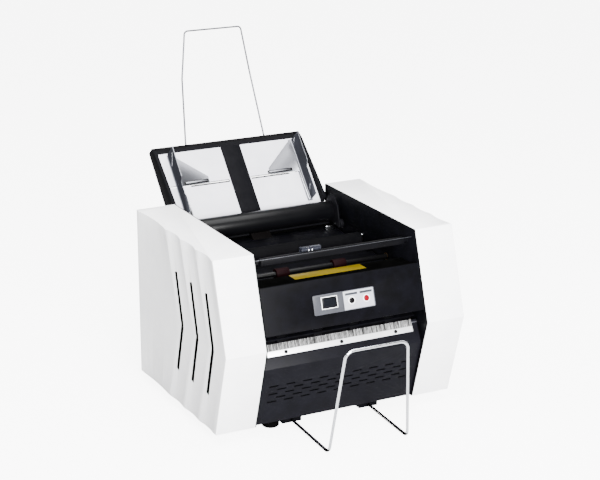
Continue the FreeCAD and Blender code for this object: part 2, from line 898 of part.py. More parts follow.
def make_control_board():
    """Circuit board on four posts behind the control plate."""
    body = place_on_front(new_body("control_board"))
    pad(body, "XY_Plane", "0 - board_gap - board_thick", "board_thick",
        [rectangle("0 - control_width / 2 + board_margin", "0 - control_height / 2 + board_margin",
                   "control_width / 2 - board_margin", "control_height / 2 - board_margin")])
    posts = [("%d * (control_width / 2 - post_margin)" % side,
              "%d * (control_height / 2 - post_margin)" % up, "post_radius")
             for side in (-1, 1) for up in (-1, 1)]
    pad(body, "XY_Plane", "0 - board_gap", "board_gap", circles=posts)
    return keep(body)


# Brush at the exit

def make_brush_holder():
    """Aluminium strip that clamps the brush on the upper facet of the lower panel."""
    body = place_on_facet(new_body("brush_holder"))
    pad(body, "XY_Plane", "0", "holder_thick",
        [rectangle("0 - brush_half", "holder_up", "brush_half", "holder_up + holder_height")])
    rounded(body, "holder_edge", lambda edge: straight(edge, "x")
            and abs(edge.CenterOfMass.z - size("holder_thick")) < 0.01)
    return keep(body)


def make_brush():
    body = place_on_facet(new_body("exit_brush"))
    pad(body, "XY_Plane", "0", "brush_thick",
        [rectangle("0 - brush_half + brush_inset", "holder_up + holder_height",
                   "brush_half - brush_inset", "holder_up + holder_height + brush_height")])
    return keep(body)


def make_brush_screws():
    body = place_on_facet(new_body("brush_screws"))
    pad(body, "XY_Plane", "holder_thick", "screw_head",
        circles=[("%d * screw_offset" % step, "holder_up + holder_height / 2", "screw_radius")
                 for step in (-1, 0, 1)])
    return keep(body)


# Front bar and deck

def make_front_bar():
    """Bevelled bar over the front opening, on a thin strip that reaches both side plates."""
    body = new_body("front_bar")
    back = "bar_depth - bar_thick"
    pad(body, "YZ_Plane", "0 - bar_half", "2 * bar_half",
        [[at(back, "bar_foot"), at("bar_depth", "bar_foot"), at("bar_depth", "bar_top - bar_bevel"),
          at("bar_depth - 2 * bar_bevel", "bar_top"), at(back, "bar_top")]])
    pad(body, "YZ_Plane", "0 - sheet_half", "2 * sheet_half",
        [[at("%s - sheet_thick" % back, "bar_foot"), at(back, "bar_foot"),
          at(back, "bar_top - bar_bevel"), at("%s - sheet_thick" % back, "bar_top - bar_bevel")]])
    return keep(body)


def make_clear_block():
    body = new_body("clear_block")
    back = "bar_depth - bar_thick - sheet_thick"
    rear = "%s - block_depth" % back
    pad(body, "YZ_Plane", "0 - block_offset", "block_width",
        [[at(rear, "bar_foot"), at(back, "bar_foot"), at(back, "bar_top + block_rise"),
          at("%s + block_bevel" % rear, "bar_top + block_rise"),
          at(rear, "bar_top + block_rise - block_bevel")]])
    return keep(body)


def make_deck():
    """Feed deck: level behind its crease, falling towards the rollers in front of it."""
    body = new_body("deck_plate")
    pad(body, "YZ_Plane", "0 - sheet_half", "2 * sheet_half",
        [[at("deck_rear", "deck_top"), at("deck_rear", "deck_top - sheet_thick"),
          at("deck_fold", "deck_top - sheet_thick"),
          at("deck_front", "deck_top - deck_drop - sheet_thick"),
          at("deck_front", "deck_top - deck_drop"), at("deck_fold", "deck_top")]])
    cut(body, "XY_Plane", "deck_top - sheet_thick - 1", "sheet_thick + 2",
        [rectangle("latch_offset - latch_length / 2", "back_face - latch_depth - latch_width / 2",
                   "latch_offset + latch_length / 2", "back_face - latch_depth + latch_width / 2")])
    rounded(body, "latch_width / 2.1", lambda edge: straight(edge, "z") and edge.CenterOfMass.x
            < size("sheet_half") - 1 and edge.CenterOfMass.x > 0)
    return keep(body)


def make_release_lever():
    """Rocking lever that lifts the feed roller, seen through the oval slot in the deck."""
    body = place(new_body("release_lever"), "latch_offset", "back_face - latch_depth", "latch_height")
    pad(body, "YZ_Plane", "0 - latch_length / 2 + latch_end_gap", "latch_length - 2 * latch_end_gap",
        [[("0 - latch_stem", "0"), ("latch_stem", "0"), ("latch_stem", "latch_drop + latch_reach"),
          ("0 - latch_stem", "latch_drop + latch_reach")]])
    rounded(body, "latch_stem * 0.9", lambda edge: straight(edge, "x") and edge.CenterOfMass.z > 1)
    pad(body, "YZ_Plane", "0 - latch_length / 2 + latch_end_gap", "latch_length - 2 * latch_end_gap",
        circles=[("0", "0", "latch_pin + latch_hub")])
    pad(body, "YZ_Plane", "0", "inner_half - latch_offset", circles=[("0", "0", "latch_pin")])
    return keep(body)


# Feed roller

def make_feed_cover():
    """Rounded cover over the feed roller, open towards the deck and the tray."""
    body = place(new_body("feed_roller_cover"), "0", "back_face - feed_depth", "feed_height")
    pad(body, "YZ_Plane", "0 - feed_half", "2 * feed_half", circles=[
        ("0", "0", "feed_radius"), ("0", "0", "feed_radius - shell_wall")])
    low = "0 - feed_radius - 1"
    cut(body, "YZ_Plane", "0 - feed_half + shell_end", "2 * feed_half - 2 * shell_end",
        [[("0 - feed_radius * 0.5", "0 - feed_radius * 0.5"), ("0 - feed_radius * 0.5", low),
          ("feed_radius + 1", low), ("feed_radius + 1", "feed_radius * 0.2"),
          ("feed_radius * 0.5", "feed_radius * 0.2")]])
    return keep(body)


def make_cover_arms():
    """End brackets of the roller cover, each with a round boss on the side plate."""
    body = new_body("cover_arms")
    fan = [at("feed_depth + arm_radius * sin(%d)" % turn, "feed_height + arm_radius * cos(%d)" % turn)
           for turn in (0, 30, 60, 90)]
    fan += [at("cap_depth + cap_radius * 0.7", "cap_height - cap_radius * 0.7"),
            at("cap_depth - cap_radius", "cap_height - cap_radius * 0.7"),
            at("feed_depth - feed_radius * 0.8", "feed_height - feed_radius * 0.6"),
            at("feed_depth - feed_radius * 0.8", "feed_height + feed_radius * 0.8")]
    for side in (-1, 1):
        pad(body, "YZ_Plane", slab(side, "feed_half", "feed_half + arm_thick"), "arm_thick", [fan],
            [side_view("feed_shaft_depth", "feed_shaft_height", "shaft_radius + slip_gap")])
        pad(body, "YZ_Plane", slab(side, "feed_half + arm_thick", "plate_half"),
            "plate_half - feed_half - arm_thick",
            circles=[side_view("cap_depth", "cap_height", "cap_radius")])
    return keep(body)


def make_shaft(name, left, right, depth, height, radius="shaft_radius", pulley=False):
    body = place(new_body(name), "0", "back_face - %s" % depth, height)
    pad(body, "YZ_Plane", "0 - (%s)" % left, "%s + %s" % (left, right), circles=[("0", "0", radius)])
    if pulley:
        pad(body, "YZ_Plane", "0 - gear_side - belt_width", "belt_width",
            circles=[("0", "0", "pulley_radius")])
    return body


def make_tyres(name, offsets, width, radius, depth, height):
    """Rubber wheels on one shaft, bored to fit it."""
    body = place(new_body(name), "0", "back_face - %s" % depth, height)
    for offset in offsets:
        pad(body, "YZ_Plane", "%s - %s / 2" % (offset, width), width,
            circles=[("0", "0", radius), ("0", "0", "shaft_radius")])
    return keep(body)


def make_separator_pad():
    """Rubber pad on the deck under the middle tyre."""
    body = new_body("separator_pad")
    pad_top = "feed_shaft_height - tyre_radius - pad_gap"
    rear = "deck_rear + pad_rear"
    pad(body, "YZ_Plane", "0 - pad_width / 2", "pad_width",
        [[at(rear, "deck_top"), at("deck_fold - pad_front", "deck_top"),
          at("deck_fold - pad_front - pad_slope", pad_top), at(rear, pad_top)]])
    return keep(body)


# Folding rollers and gears

def make_fold_roller(name, depth, height, pulley):
    left = "gear_side + belt_width" if pulley else "inner_half"
    body = make_shaft(name, left, "gear_side + gear_width", depth, height, pulley=pulley)
    pad(body, "YZ_Plane", "0 - roller_half", "2 * roller_half", circles=[("0", "0", "roller_radius")])
    return keep(body)


def make_gear(name, teeth, phase, depth, height, bore):
    """Spur gear: a root disc and one tooth repeated round the shaft."""
    body = place(new_body(name), "gear_side", "back_face - %s" % depth, height, phase)
    pitch = "gear_module * %s / 2" % teeth
    root = "(%s - 1.15 * gear_module)" % pitch
    tip = "(%s + 0.8 * gear_module)" % pitch
    pad(body, "YZ_Plane", "0", "gear_width", circles=[("0", "0", root)])
    tooth = pad(body, "YZ_Plane", "0", "gear_width",
                [[("0 - gear_module * 1.0", "%s - 1" % root), ("gear_module * 1.0", "%s - 1" % root),
                  ("gear_module * 0.86", "%s + 0.2" % root), ("gear_module * 0.6", pitch),
                  ("gear_module * 0.26", tip), ("0 - gear_module * 0.26", tip),
                  ("0 - gear_module * 0.6", pitch), ("0 - gear_module * 0.86", "%s + 0.2" % root)]])
    ring_of(body, tooth, "X_Axis", teeth)
    cut(body, "YZ_Plane", "0 - 1", "gear_width + 2", circles=[("0", "0", bore)])
    return keep(body)


def make_motor():
    body = place(new_body("drive_motor"), "plate_half", "back_face - pinion_depth", "drive_height")
    pad(body, "YZ_Plane", "0 - motor_length", "motor_length", circles=[("0", "0", "motor_radius")])
    chamfered(body, "motor_edge", lambda edge: abs(edge.CenterOfMass.x + size("motor_length")) < 0.01)
    cut(body, "YZ_Plane", "0 - shaft_seat", "shaft_seat + 1", circles=[("0", "0", "motor_shaft + fit_gap")])
    return keep(body)


def make_motor_pinion():
    body = make_gear("motor_pinion", "pinion_teeth", "0", "pinion_depth", "drive_height", "motor_shaft / 2")
    pad(body, "YZ_Plane", "plate_half - gear_side - shaft_reach",
        "gear_side - plate_half + shaft_reach + gear_width",
        circles=[("0", "0", "motor_shaft")])
    return body


# Belts

def make_belts():
    """Two flat belts on the left: rollers to feed shaft, and rollers to exit shaft."""
    for name, start, end in (("feed_belt", ("first_depth", "first_height + roller_pitch"),
                              ("feed_shaft_depth", "feed_shaft_height")),
                             ("exit_belt", ("exit_depth", "exit_height"),
                              ("second_depth", "third_height"))):
        across = "(%s - %s)" % (start[0], end[0])
        rise = "(%s - (%s))" % (end[1], start[1])
        span = "sqrt(%s * %s + %s * %s)" % (across, across, rise, rise)
        body = place(new_body(name), "0 - gear_side - belt_width", "back_face - %s" % start[0],
                     start[1], "atan(%s / %s)" % (rise, across))
        outer = "(belt_inner + belt_thick)"
        pad(body, "YZ_Plane", "0", "belt_width", [rectangle("0", "0 - %s" % outer, span, outer)])
        for middle in ("0", span):
            pad(body, "YZ_Plane", "0", "belt_width", circles=[(middle, "0", outer)])
        cut(body, "YZ_Plane", "0 - 1", "belt_width + 2",
            [rectangle("0", "0 - belt_inner", span, "belt_inner")])
        for middle in ("0", span):
            cut(body, "YZ_Plane", "0 - 1", "belt_width + 2", circles=[(middle, "0", "belt_inner")])
        keep(body)


# Fold plates and exit guide

def pocket_plate(body, length):
    """Flat pocket, open at its mouth and closed at its stop, along the body's -Y or -Z."""
    half = "plate_envelope / 2"
    slit = "plate_slit / 2"
    stop = "0 - (%s) + pocket_end" % length
    pad(body, "YZ_Plane", "0 - sheet_half", "2 * sheet_half",
        [[("0", "0 - %s" % half), ("0", "0 - plate_mouth / 2 - mouth_lip"),
          ("0 - mouth_flare", "0 - %s" % slit), (stop, "0 - %s" % slit), (stop, slit),
          ("0 - mouth_flare", slit), ("0", "plate_mouth / 2 + mouth_lip"), ("0", half),
          ("0 - (%s)" % length, half), ("0 - (%s)" % length, "0 - %s" % half)]])
    return keep(body)


def make_fold_plates():
    mouth = "second_depth + roller_radius + mouth_gap"
    upper = place(new_body("upper_fold_plate"), "0", "back_face - (%s)" % mouth,
                  "first_height + roller_pitch / 2", "deck_drop")
    pocket_plate(upper, "upper_plate_front - (%s)" % mouth)
    lower = place(new_body("lower_fold_plate"), "0", "back_face - second_depth + roller_pitch / 2",
                  "third_height - roller_radius - mouth_gap", "90")
    pocket_plate(lower, "third_height - roller_radius - mouth_gap - cover_lift - lower_plate_foot")


exit_wheels = ["%s * exit_wheel_offset" % step for step in (-3, -1, 1, 3)]


def make_exit_guide():
    """Sloping sheet that carries the folded paper to the exit, slotted for the exit wheels."""
    body = new_body("exit_guide")
    rear = "second_depth + roller_radius + guide_tail"
    front = "facet_depth - guide_nose"
    rear_top = "third_height + roller_radius * 0.4"
    pad(body, "YZ_Plane", "0 - sheet_half", "2 * sheet_half",
        [[at(rear, rear_top), at(rear, "%s - sheet_thick" % rear_top),
          at(front, "exit_guide_top - sheet_thick"), at(front, "exit_guide_top")]])
    half = "(exit_wheel_width / 2 + window_slack)"
    cut(body, "XY_Plane", "exit_guide_top - 2 * wheel_window", "4 * wheel_window",
        [rectangle("%s - %s" % (middle, half), "back_face - exit_depth - wheel_window",
                   "%s + %s" % (middle, half), "back_face - exit_depth + wheel_window")
         for middle in exit_wheels])
    return keep(body)


# Tray

def make_tray_frame():
    """Moulded tray: tall cheeks, a slanted top band and a web that the panels lie on."""
    body = place_on_tray(new_body("tray_frame"))
    pad(body, "YZ_Plane", "0 - tray_half", "2 * tray_half",
        [[("0", "0 - tray_back"), ("0", "cheek_foot"), ("panel_top_reach", "0"),
          ("tray_length", "0 - band_back"), ("tray_length", "0 - tray_back")]])
    cut(body, "YZ_Plane", "0 - tray_half + cheek_width", "2 * tray_half - 2 * cheek_width",
        [[("0 - 1", "0 - panel_thick"), ("panel_top_reach", "0 - panel_thick"),
          ("panel_top_reach", "cheek_foot + 1"), ("0 - 1", "cheek_foot + 1")]])
    inner = "(tray_half - tray_wall)"
    cut(body, "XY_Plane", "0 - tray_back - 1", "tray_back + 1 - web_back",
        [rectangle("0 - %s" % inner, "tray_wall", inner, "tray_length - tray_wall")])
    slots = []
    for side in (-1, 1):
        slots.append(rectangle("%d * slot_start" % side, "guide_line - guide_slot / 2",
                               "%d * slot_far" % side, "guide_line + guide_slot / 2"))
    cut(body, "XY_Plane", "0 - web_back - 1", "web_thick + 2", slots)
    cut(body, "XZ_Plane", "0 - tray_length - 1", "tray_wall + 2",
        circles=[("%d * support_foot" % side, "0 - socket_drop", "support_radius + fit_gap")
                 for side in (-1, 1)])
    pad(body, "XY_Plane", "0 - web_back - rack_thick - hub_length", "rack_thick + hub_length",
        circles=[("0", "guide_line", "hub_radius")])
    return keep(body)


def make_tray_panel(name, side):
    """White slide panel of the tray, with the slot that the side guide runs in."""
    body = place_on_tray(new_body(name))
    inner = "%d * strip_half" % side
    outer = "%d * (tray_half - cheek_width - slip_gap)" % side
    pad(body, "XY_Plane", "0 - panel_thick", "panel_thick",
        [rectangle(inner, "0 - panel_tail", outer, "panel_top_reach")])
    cut(body, "XY_Plane", "0 - panel_thick - 1", "panel_thick + 2",
        [rectangle("%d * slot_start" % side, "guide_line - guide_slot / 2", "%d * slot_far" % side,
                   "guide_line + guide_slot / 2")])
    return keep(body)


def make_centre_strip():
    body = place_on_tray(new_body("tray_centre_strip"))
    pad(body, "XY_Plane", "0 - panel_thick", "panel_thick",
        [rectangle("0 - strip_half", "0 - panel_tail", "strip_half", "panel_top_reach")])
    return keep(body)


def make_side_guide(name, side):
    """Bent sheet guide: upright flange, rounded fold, and a triangular wing on the panel."""
    body = place_on_tray(new_body(name))
    outer = "%d * (guide_offset + guide_sheet)" % side
    inner = "%d * guide_offset" % side
    bend = "%d * (guide_offset - fold_radius - guide_lip)" % side
    floor = "running_gap"
    pad(body, "XZ_Plane", "0 - wing_reach", "wing_reach - guide_foot",
        [[(bend, floor), (outer, floor), (outer, "guide_height"), (inner, "guide_height"),
          (inner, "%s + guide_sheet" % floor), (bend, "%s + guide_sheet" % floor)]])
    corner = size("guide_offset") + size("guide_sheet")
    gap = size("running_gap")
    rounded(body, "fold_radius + guide_sheet", lambda edge: straight(edge, "y")
            and abs(abs(edge.CenterOfMass.x) - corner) < 0.01 and abs(edge.CenterOfMass.z - gap) < 0.01)
    rounded(body, "fold_radius", lambda edge: straight(edge, "y")
            and abs(abs(edge.CenterOfMass.x) - size("guide_offset")) < 0.01
            and abs(edge.CenterOfMass.z - gap - size("guide_sheet")) < 0.01)
    cut(body, "YZ_Plane", slab(side, "guide_offset - 1", "guide_offset + guide_sheet + 1"),
        "guide_sheet + 2", [[("0", "guide_low_height"), ("guide_step", "guide_low_height"),
                             ("guide_step + guide_ramp", "guide_height + 1"), ("0", "guide_height + 1")]])
    wing = "%d * wing_inner" % side
    edge_line = "%d * (guide_offset - fold_radius - guide_lip + wing_overlap)" % side
    pad(body, "XY_Plane", floor, "guide_sheet",
        [[(edge_line, "wing_reach"), (wing, "guide_line + wing_drop"),
          (wing, "guide_line - neck_half"), (edge_line, "guide_line - neck_half")]])
    neck = ["%d * (neck_offset - neck_width / 2)" % side, "%d * (neck_offset + neck_width / 2)" % side]
    pad(body, "XY_Plane", "0 - web_back - running_gap", "web_back + 2 * running_gap + guide_sheet / 2",
        [rectangle(neck[0], "guide_line - neck_half", neck[1], "guide_line + neck_half")])
    return keep(body)


def make_guide_rack(name, side):
    """Toothed bar behind the tray that ties one guide to the centre pinion."""
    body = place_on_tray(new_body(name))
    pitch_line = "(guide_line - %d * rack_radius)" % side
    back = "(%s - %d * (1.25 * rack_module + rack_bar))" % (pitch_line, side)
    root = "(%s - %d * 1.25 * rack_module)" % (pitch_line, side)
    outer = "%d * (neck_offset + neck_width / 2)" % side
    inner = "%d * (neck_offset - neck_width / 2)" % side
    far = "0 - %d * (guide_out + rack_overlap)" % side
    head = "guide_line + %d * hub_radius" % side
    pad(body, "XY_Plane", "rack_floor", "rack_thick",
        [[(outer, back), (far, back), (far, root), (inner, root), (inner, head), (outer, head)]])
    middle = "%d * (rack_steps * 3 / 4 - 1 / 2) * rack_module * pi" % side
    half = [("0.95", "-0.2"), ("0.5", "1.25"), ("0.22", "2.05")]
    points = [("%s - %s * rack_module" % (middle, across), "%s + %d * %s * rack_module" % (root, side, up))
              for across, up in half]
    points += [("%s + %s * rack_module" % (middle, across), "%s + %d * %s * rack_module" % (root, side, up))
               for across, up in reversed(half)]
    tooth = pad(body, "XY_Plane", "rack_floor", "rack_thick", [points])
    pattern = row_of(body, tooth, "X_Axis", "rack_steps * rack_module * pi", "rack_steps + 1")
    pattern.Reversed = side > 0
    return keep(body)


def make_guide_pinion():
    body = place_on_tray(new_body("guide_pinion"))
    tie(body, "Placement.Base.y", "back_face + tray_overhang + guide_line * cos(tray_lean)")
    tie(body, "Placement.Base.z", "tray_height + guide_line * sin(tray_lean)")
    root = "(rack_radius - 1.25 * rack_module)"
    pad(body, "XY_Plane", "rack_floor", "rack_thick", circles=[("0", "0", root)])
    tooth = pad(body, "XY_Plane", "rack_floor", "rack_thick",
                [[("0 - rack_module", "%s - 1" % root), ("rack_module", "%s - 1" % root),
                  ("rack_module * 0.86", "%s + 0.2" % root), ("rack_module * 0.55", "rack_radius"),
                  ("rack_module * 0.22", "rack_radius + 0.8 * rack_module"),
                  ("0 - rack_module * 0.22", "rack_radius + 0.8 * rack_module"),
                  ("0 - rack_module * 0.55", "rack_radius"), ("0 - rack_module * 0.86", "%s + 0.2" % root)]])
    ring_of(body, tooth, "Z_Axis", "rack_teeth")
    cut(body, "XY_Plane", "rack_floor - 1", "rack_thick + 2", circles=[("0", "0", "hub_radius + fit_gap")])
    return keep(body)


# Bent wires

def bent_rod(name, points, radius, bends):
    """Round rod along straight runs that are joined by tangent arcs."""
    edges = []
    start = points[0]
    for index in range(1, len(points) - 1):
        before = (points[index - 1] - points[index]).normalize()
        after = (points[index + 1] - points[index]).normalize()
        half_turn = (math.pi - before.getAngle(after)) / 2
        back = bends[index - 1] * math.tan(half_turn)
        first = points[index] + before * back
        last = points[index] + after * back
        inward = (before + after).normalize()
        reach = bends[index - 1] / math.cos(half_turn) - bends[index - 1]
        edges.append(Part.LineSegment(start, first).toShape())
        edges.append(Part.Arc(first, points[index] + inward * reach, last).toShape())
        start = last
    edges.append(Part.LineSegment(start, points[-1]).toShape())
    along = points[1] - points[0]
    section = Part.Wire(Part.Circle(points[0], along, radius).toShape())
    item = doc.addObject("Part::Feature", name)
    item.Label = name
    item.Shape = Part.Wire(edges).makePipeShell([section], True, False)
    return keep(item)


def mirrored_path(half):
    return half + [FreeCAD.Vector(-point.x, point.y, point.z) for point in reversed(half)]


def make_support_wire():
    """Wire frame that holds up long sheets, plugged into the top wall of the tray."""
    back = size("back_face")
    lift = size("cover_lift")
    lean = math.radians(size("tray_lean"))
    foot = FreeCAD.Vector(-size("support_foot"), back + size("support_foot_reach"),
                          lift + size("support_foot_rise"))
    socket = foot - FreeCAD.Vector(0, math.cos(lean), math.sin(lean)) * size("socket_depth")
    kink = FreeCAD.Vector(-size("support_kink"), back + size("support_kink_reach"),
                          lift + size("support_kink_rise"))
    top = FreeCAD.Vector(-size("support_top"), back + size("support_reach"), lift + size("support_rise"))
    bends = [size("support_low_bend"), size("support_kink_bend"), size("support_top_bend")]
    return bent_rod("paper_support_wire", mirrored_path([socket, foot, kink, top]),
                    size("support_radius"), bends + bends[::-1])


def make_bail():
    """Wire stop in front of the exit, sliding in the guides under the base plate."""
    back = size("back_face")
    floor = FreeCAD.Vector(-size("bail_half"), back - size("bail_floor_depth"), size("bail_floor"))
    run = size("bail_floor_depth") - size("bail_tail")
    tail = floor + FreeCAD.Vector(0, run, run * math.tan(math.radians(size("bail_slope"))))
    top = FreeCAD.Vector(-size("bail_top_half"), back - size("bail_top_depth"),
                         size("cover_lift") + size("bail_top_rise"))
    bends = [size("bail_floor_bend"), size("bail_top_bend")]
    return bent_rod("output_bail", mirrored_path([tail, floor, top]), size("bail_radius"),
                    bends + bends[::-1])


# Mains inlet and switch

def make_inlet():
    """Moulded block in the rear panel with the inlet socket and the seat of the rocker."""
    body = new_body("power_inlet")
    left = "inlet_offset - inlet_width / 2"
    right = "inlet_offset + inlet_width / 2"
    low = "inlet_height_mid - inlet_height / 2"
    high = "inlet_height_mid + inlet_height / 2"
    pad(body, "XZ_Plane", level("plate_inset - inlet_proud"), "inlet_proud",
        [rectangle("%s - inlet_flange" % left, "%s - inlet_flange" % low, "%s + inlet_flange" % right,
                   "%s + inlet_flange" % high)])
    pad(body, "XZ_Plane", level("plate_inset"), "inlet_depth",
        [rectangle("%s + fit_gap" % left, "%s + fit_gap" % low, "%s - fit_gap" % right,
                   "%s - fit_gap" % high)])
    mouth = rectangle("%s + inlet_flange" % left, "%s + socket_height_margin" % low,
                      "%s + inlet_flange + socket_width" % left, "%s - socket_height_margin" % high)
    seat = rectangle("rocker_offset - rocker_width / 2 - running_gap",
                     "inlet_height_mid - rocker_height / 2 - rocker_slack",
                     "rocker_offset + rocker_width / 2 + running_gap",
                     "inlet_height_mid + rocker_height / 2 + rocker_slack")
    cut(body, "XZ_Plane", level("plate_inset - inlet_proud - 1"), "inlet_proud + 1 + socket_bore",
        [mouth, seat])
    return keep(body)


def make_rocker():
    body = place(new_body("power_rocker"), "rocker_offset",
                 "back_face - plate_inset - inlet_proud - 1", "inlet_height_mid")
    half = "rocker_height / 2"
    pad(body, "YZ_Plane", "0 - rocker_width / 2", "rocker_width",
        [[("0 - rocker_back", "0 - rocker_back"), ("rocker_root", "0 - %s" % half),
          ("rocker_face", "0 - %s" % half), ("rocker_dip", "0"), ("rocker_face", half),
          ("rocker_root", half), ("0 - rocker_back", "rocker_back")]])
    return keep(body)


def make_frame_parts():
    for side, name in ((-1, "left"), (1, "right")):
        make_cover(name + "_cover", side)
        make_side_plate(name + "_side_plate", side)
        make_tray_panel(name + "_tray_panel", side)
        make_side_guide(name + "_side_guide", side)
        make_guide_rack(name + "_guide_rack", side)
    for make in (make_bushes, make_base_plate, make_feet, make_tie_rods, make_rear_panel,
                 make_upper_front_panel, make_lower_front_panel, make_control_plate,
                 make_display_window, make_control_board, make_brush_holder, make_brush,
                 make_brush_screws, make_front_bar, make_clear_block, make_deck, make_release_lever,
                 make_feed_cover, make_cover_arms, make_separator_pad, make_motor, make_motor_pinion,
                 make_belts, make_fold_plates, make_exit_guide, make_tray_frame, make_centre_strip,
                 make_guide_pinion, make_support_wire, make_bail, make_inlet, make_rocker):
        make()
    for name, offset in buttons:
        make_button(name, offset)


def make_turning_parts():
    keep(make_shaft("feed_shaft", "gear_side + belt_width", "inner_half", "feed_shaft_depth",
                    "feed_shaft_height", pulley=True))
    make_tyres("feed_tyres", ["0 - tyre_offset", "0", "tyre_offset"], "tyre_width", "tyre_radius",
               "feed_shaft_depth", "feed_shaft_height")
    centres = [("first_depth", "(first_height + roller_pitch)"), ("first_depth", "first_height"),
               ("second_depth", "first_height"), ("second_depth", "third_height")]
    for index, (depth, height) in enumerate(centres):
        make_fold_roller("fold_roller_%d" % (index + 1), depth, height, index in (0, 3))
        phase = "180 / gear_teeth" if index in (0, 2) else "0"
        make_gear("fold_gear_%d" % (index + 1), "gear_teeth", phase, depth, height, "shaft_radius")
    make_gear("drive_gear", "drive_teeth", "180 / drive_teeth", "second_depth", "drive_height",
              "shaft_radius + fit_gap")
    exit_body = make_shaft("exit_roller", "gear_side + belt_width", "inner_half", "exit_depth",
                           "exit_height", pulley=True)
    for middle in exit_wheels:
        pad(exit_body, "YZ_Plane", "%s - exit_wheel_width / 2" % middle, "exit_wheel_width",
            circles=[("0", "0", "exit_wheel_radius")])
    keep(exit_body)
    keep(make_shaft("hold_down_shaft", "inner_half", "inner_half", "wheel_depth", "wheel_height"))
    make_tyres("hold_down_wheels", ["0 - wheel_offset", "wheel_offset"], "wheel_width", "wheel_radius",
               "wheel_depth", "wheel_height")


make_frame_parts()
make_turning_parts()
doc.recompute()


# Checks and files

def check_pieces():
    for item in doc.Objects:
        if "Invalid" in item.State or "Error" in item.State:
            raise RuntimeError(item.Label + " could not be rebuilt: " + str(item.State))
    for item in pieces:
        if item.Shape.isNull() or not item.Shape.isValid() or not item.Shape.Solids:
            raise RuntimeError(item.Label + " is not a valid solid")


check_pieces()
os.makedirs("parts", exist_ok=True)
for item in pieces:
    item.Shape.exportStep(os.path.join("parts", item.Label + ".step"))
print(len(pieces), "pieces written")
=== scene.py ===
import bpy, json, math
from mathutils import Matrix, Vector


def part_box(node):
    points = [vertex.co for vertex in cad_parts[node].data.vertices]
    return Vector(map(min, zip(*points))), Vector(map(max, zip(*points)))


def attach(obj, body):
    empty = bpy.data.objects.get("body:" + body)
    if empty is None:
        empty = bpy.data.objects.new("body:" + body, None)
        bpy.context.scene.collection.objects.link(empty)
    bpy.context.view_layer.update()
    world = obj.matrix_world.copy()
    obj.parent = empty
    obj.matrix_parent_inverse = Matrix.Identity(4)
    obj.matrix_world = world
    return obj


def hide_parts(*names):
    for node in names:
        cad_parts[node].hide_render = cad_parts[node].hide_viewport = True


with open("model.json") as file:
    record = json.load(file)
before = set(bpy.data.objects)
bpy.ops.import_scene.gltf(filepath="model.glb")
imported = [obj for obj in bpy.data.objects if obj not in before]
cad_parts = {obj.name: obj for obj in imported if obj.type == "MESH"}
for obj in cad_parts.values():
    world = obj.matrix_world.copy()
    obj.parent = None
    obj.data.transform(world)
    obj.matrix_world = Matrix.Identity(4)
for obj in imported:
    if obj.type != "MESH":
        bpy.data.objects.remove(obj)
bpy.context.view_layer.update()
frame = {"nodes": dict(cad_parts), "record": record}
nodes = frame["nodes"]
mm = 0.001
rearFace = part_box("left_cover")[1][1] / mm  # back of the side covers, from which depths run forwards


# colour, nodes and materials

def toLinear(hexText):
    channels = []
    for i in (0, 2, 4):
        c = int(hexText[i:i + 2], 16) / 255
        channels.append(c / 12.92 if c <= 0.04045 else ((c + 0.055) / 1.055) ** 2.4)
    return (channels[0], channels[1], channels[2], 1.0)


def addNode(tree, kind, inputs=None, **settings):
    node = tree.nodes.new(kind)
    for key, value in settings.items():
        setattr(node, key, value)
    for key, value in (inputs or {}).items():
        if isinstance(value, bpy.types.NodeSocket):
            tree.links.new(value, node.inputs[key])
        else:
            node.inputs[key].default_value = value
    return node


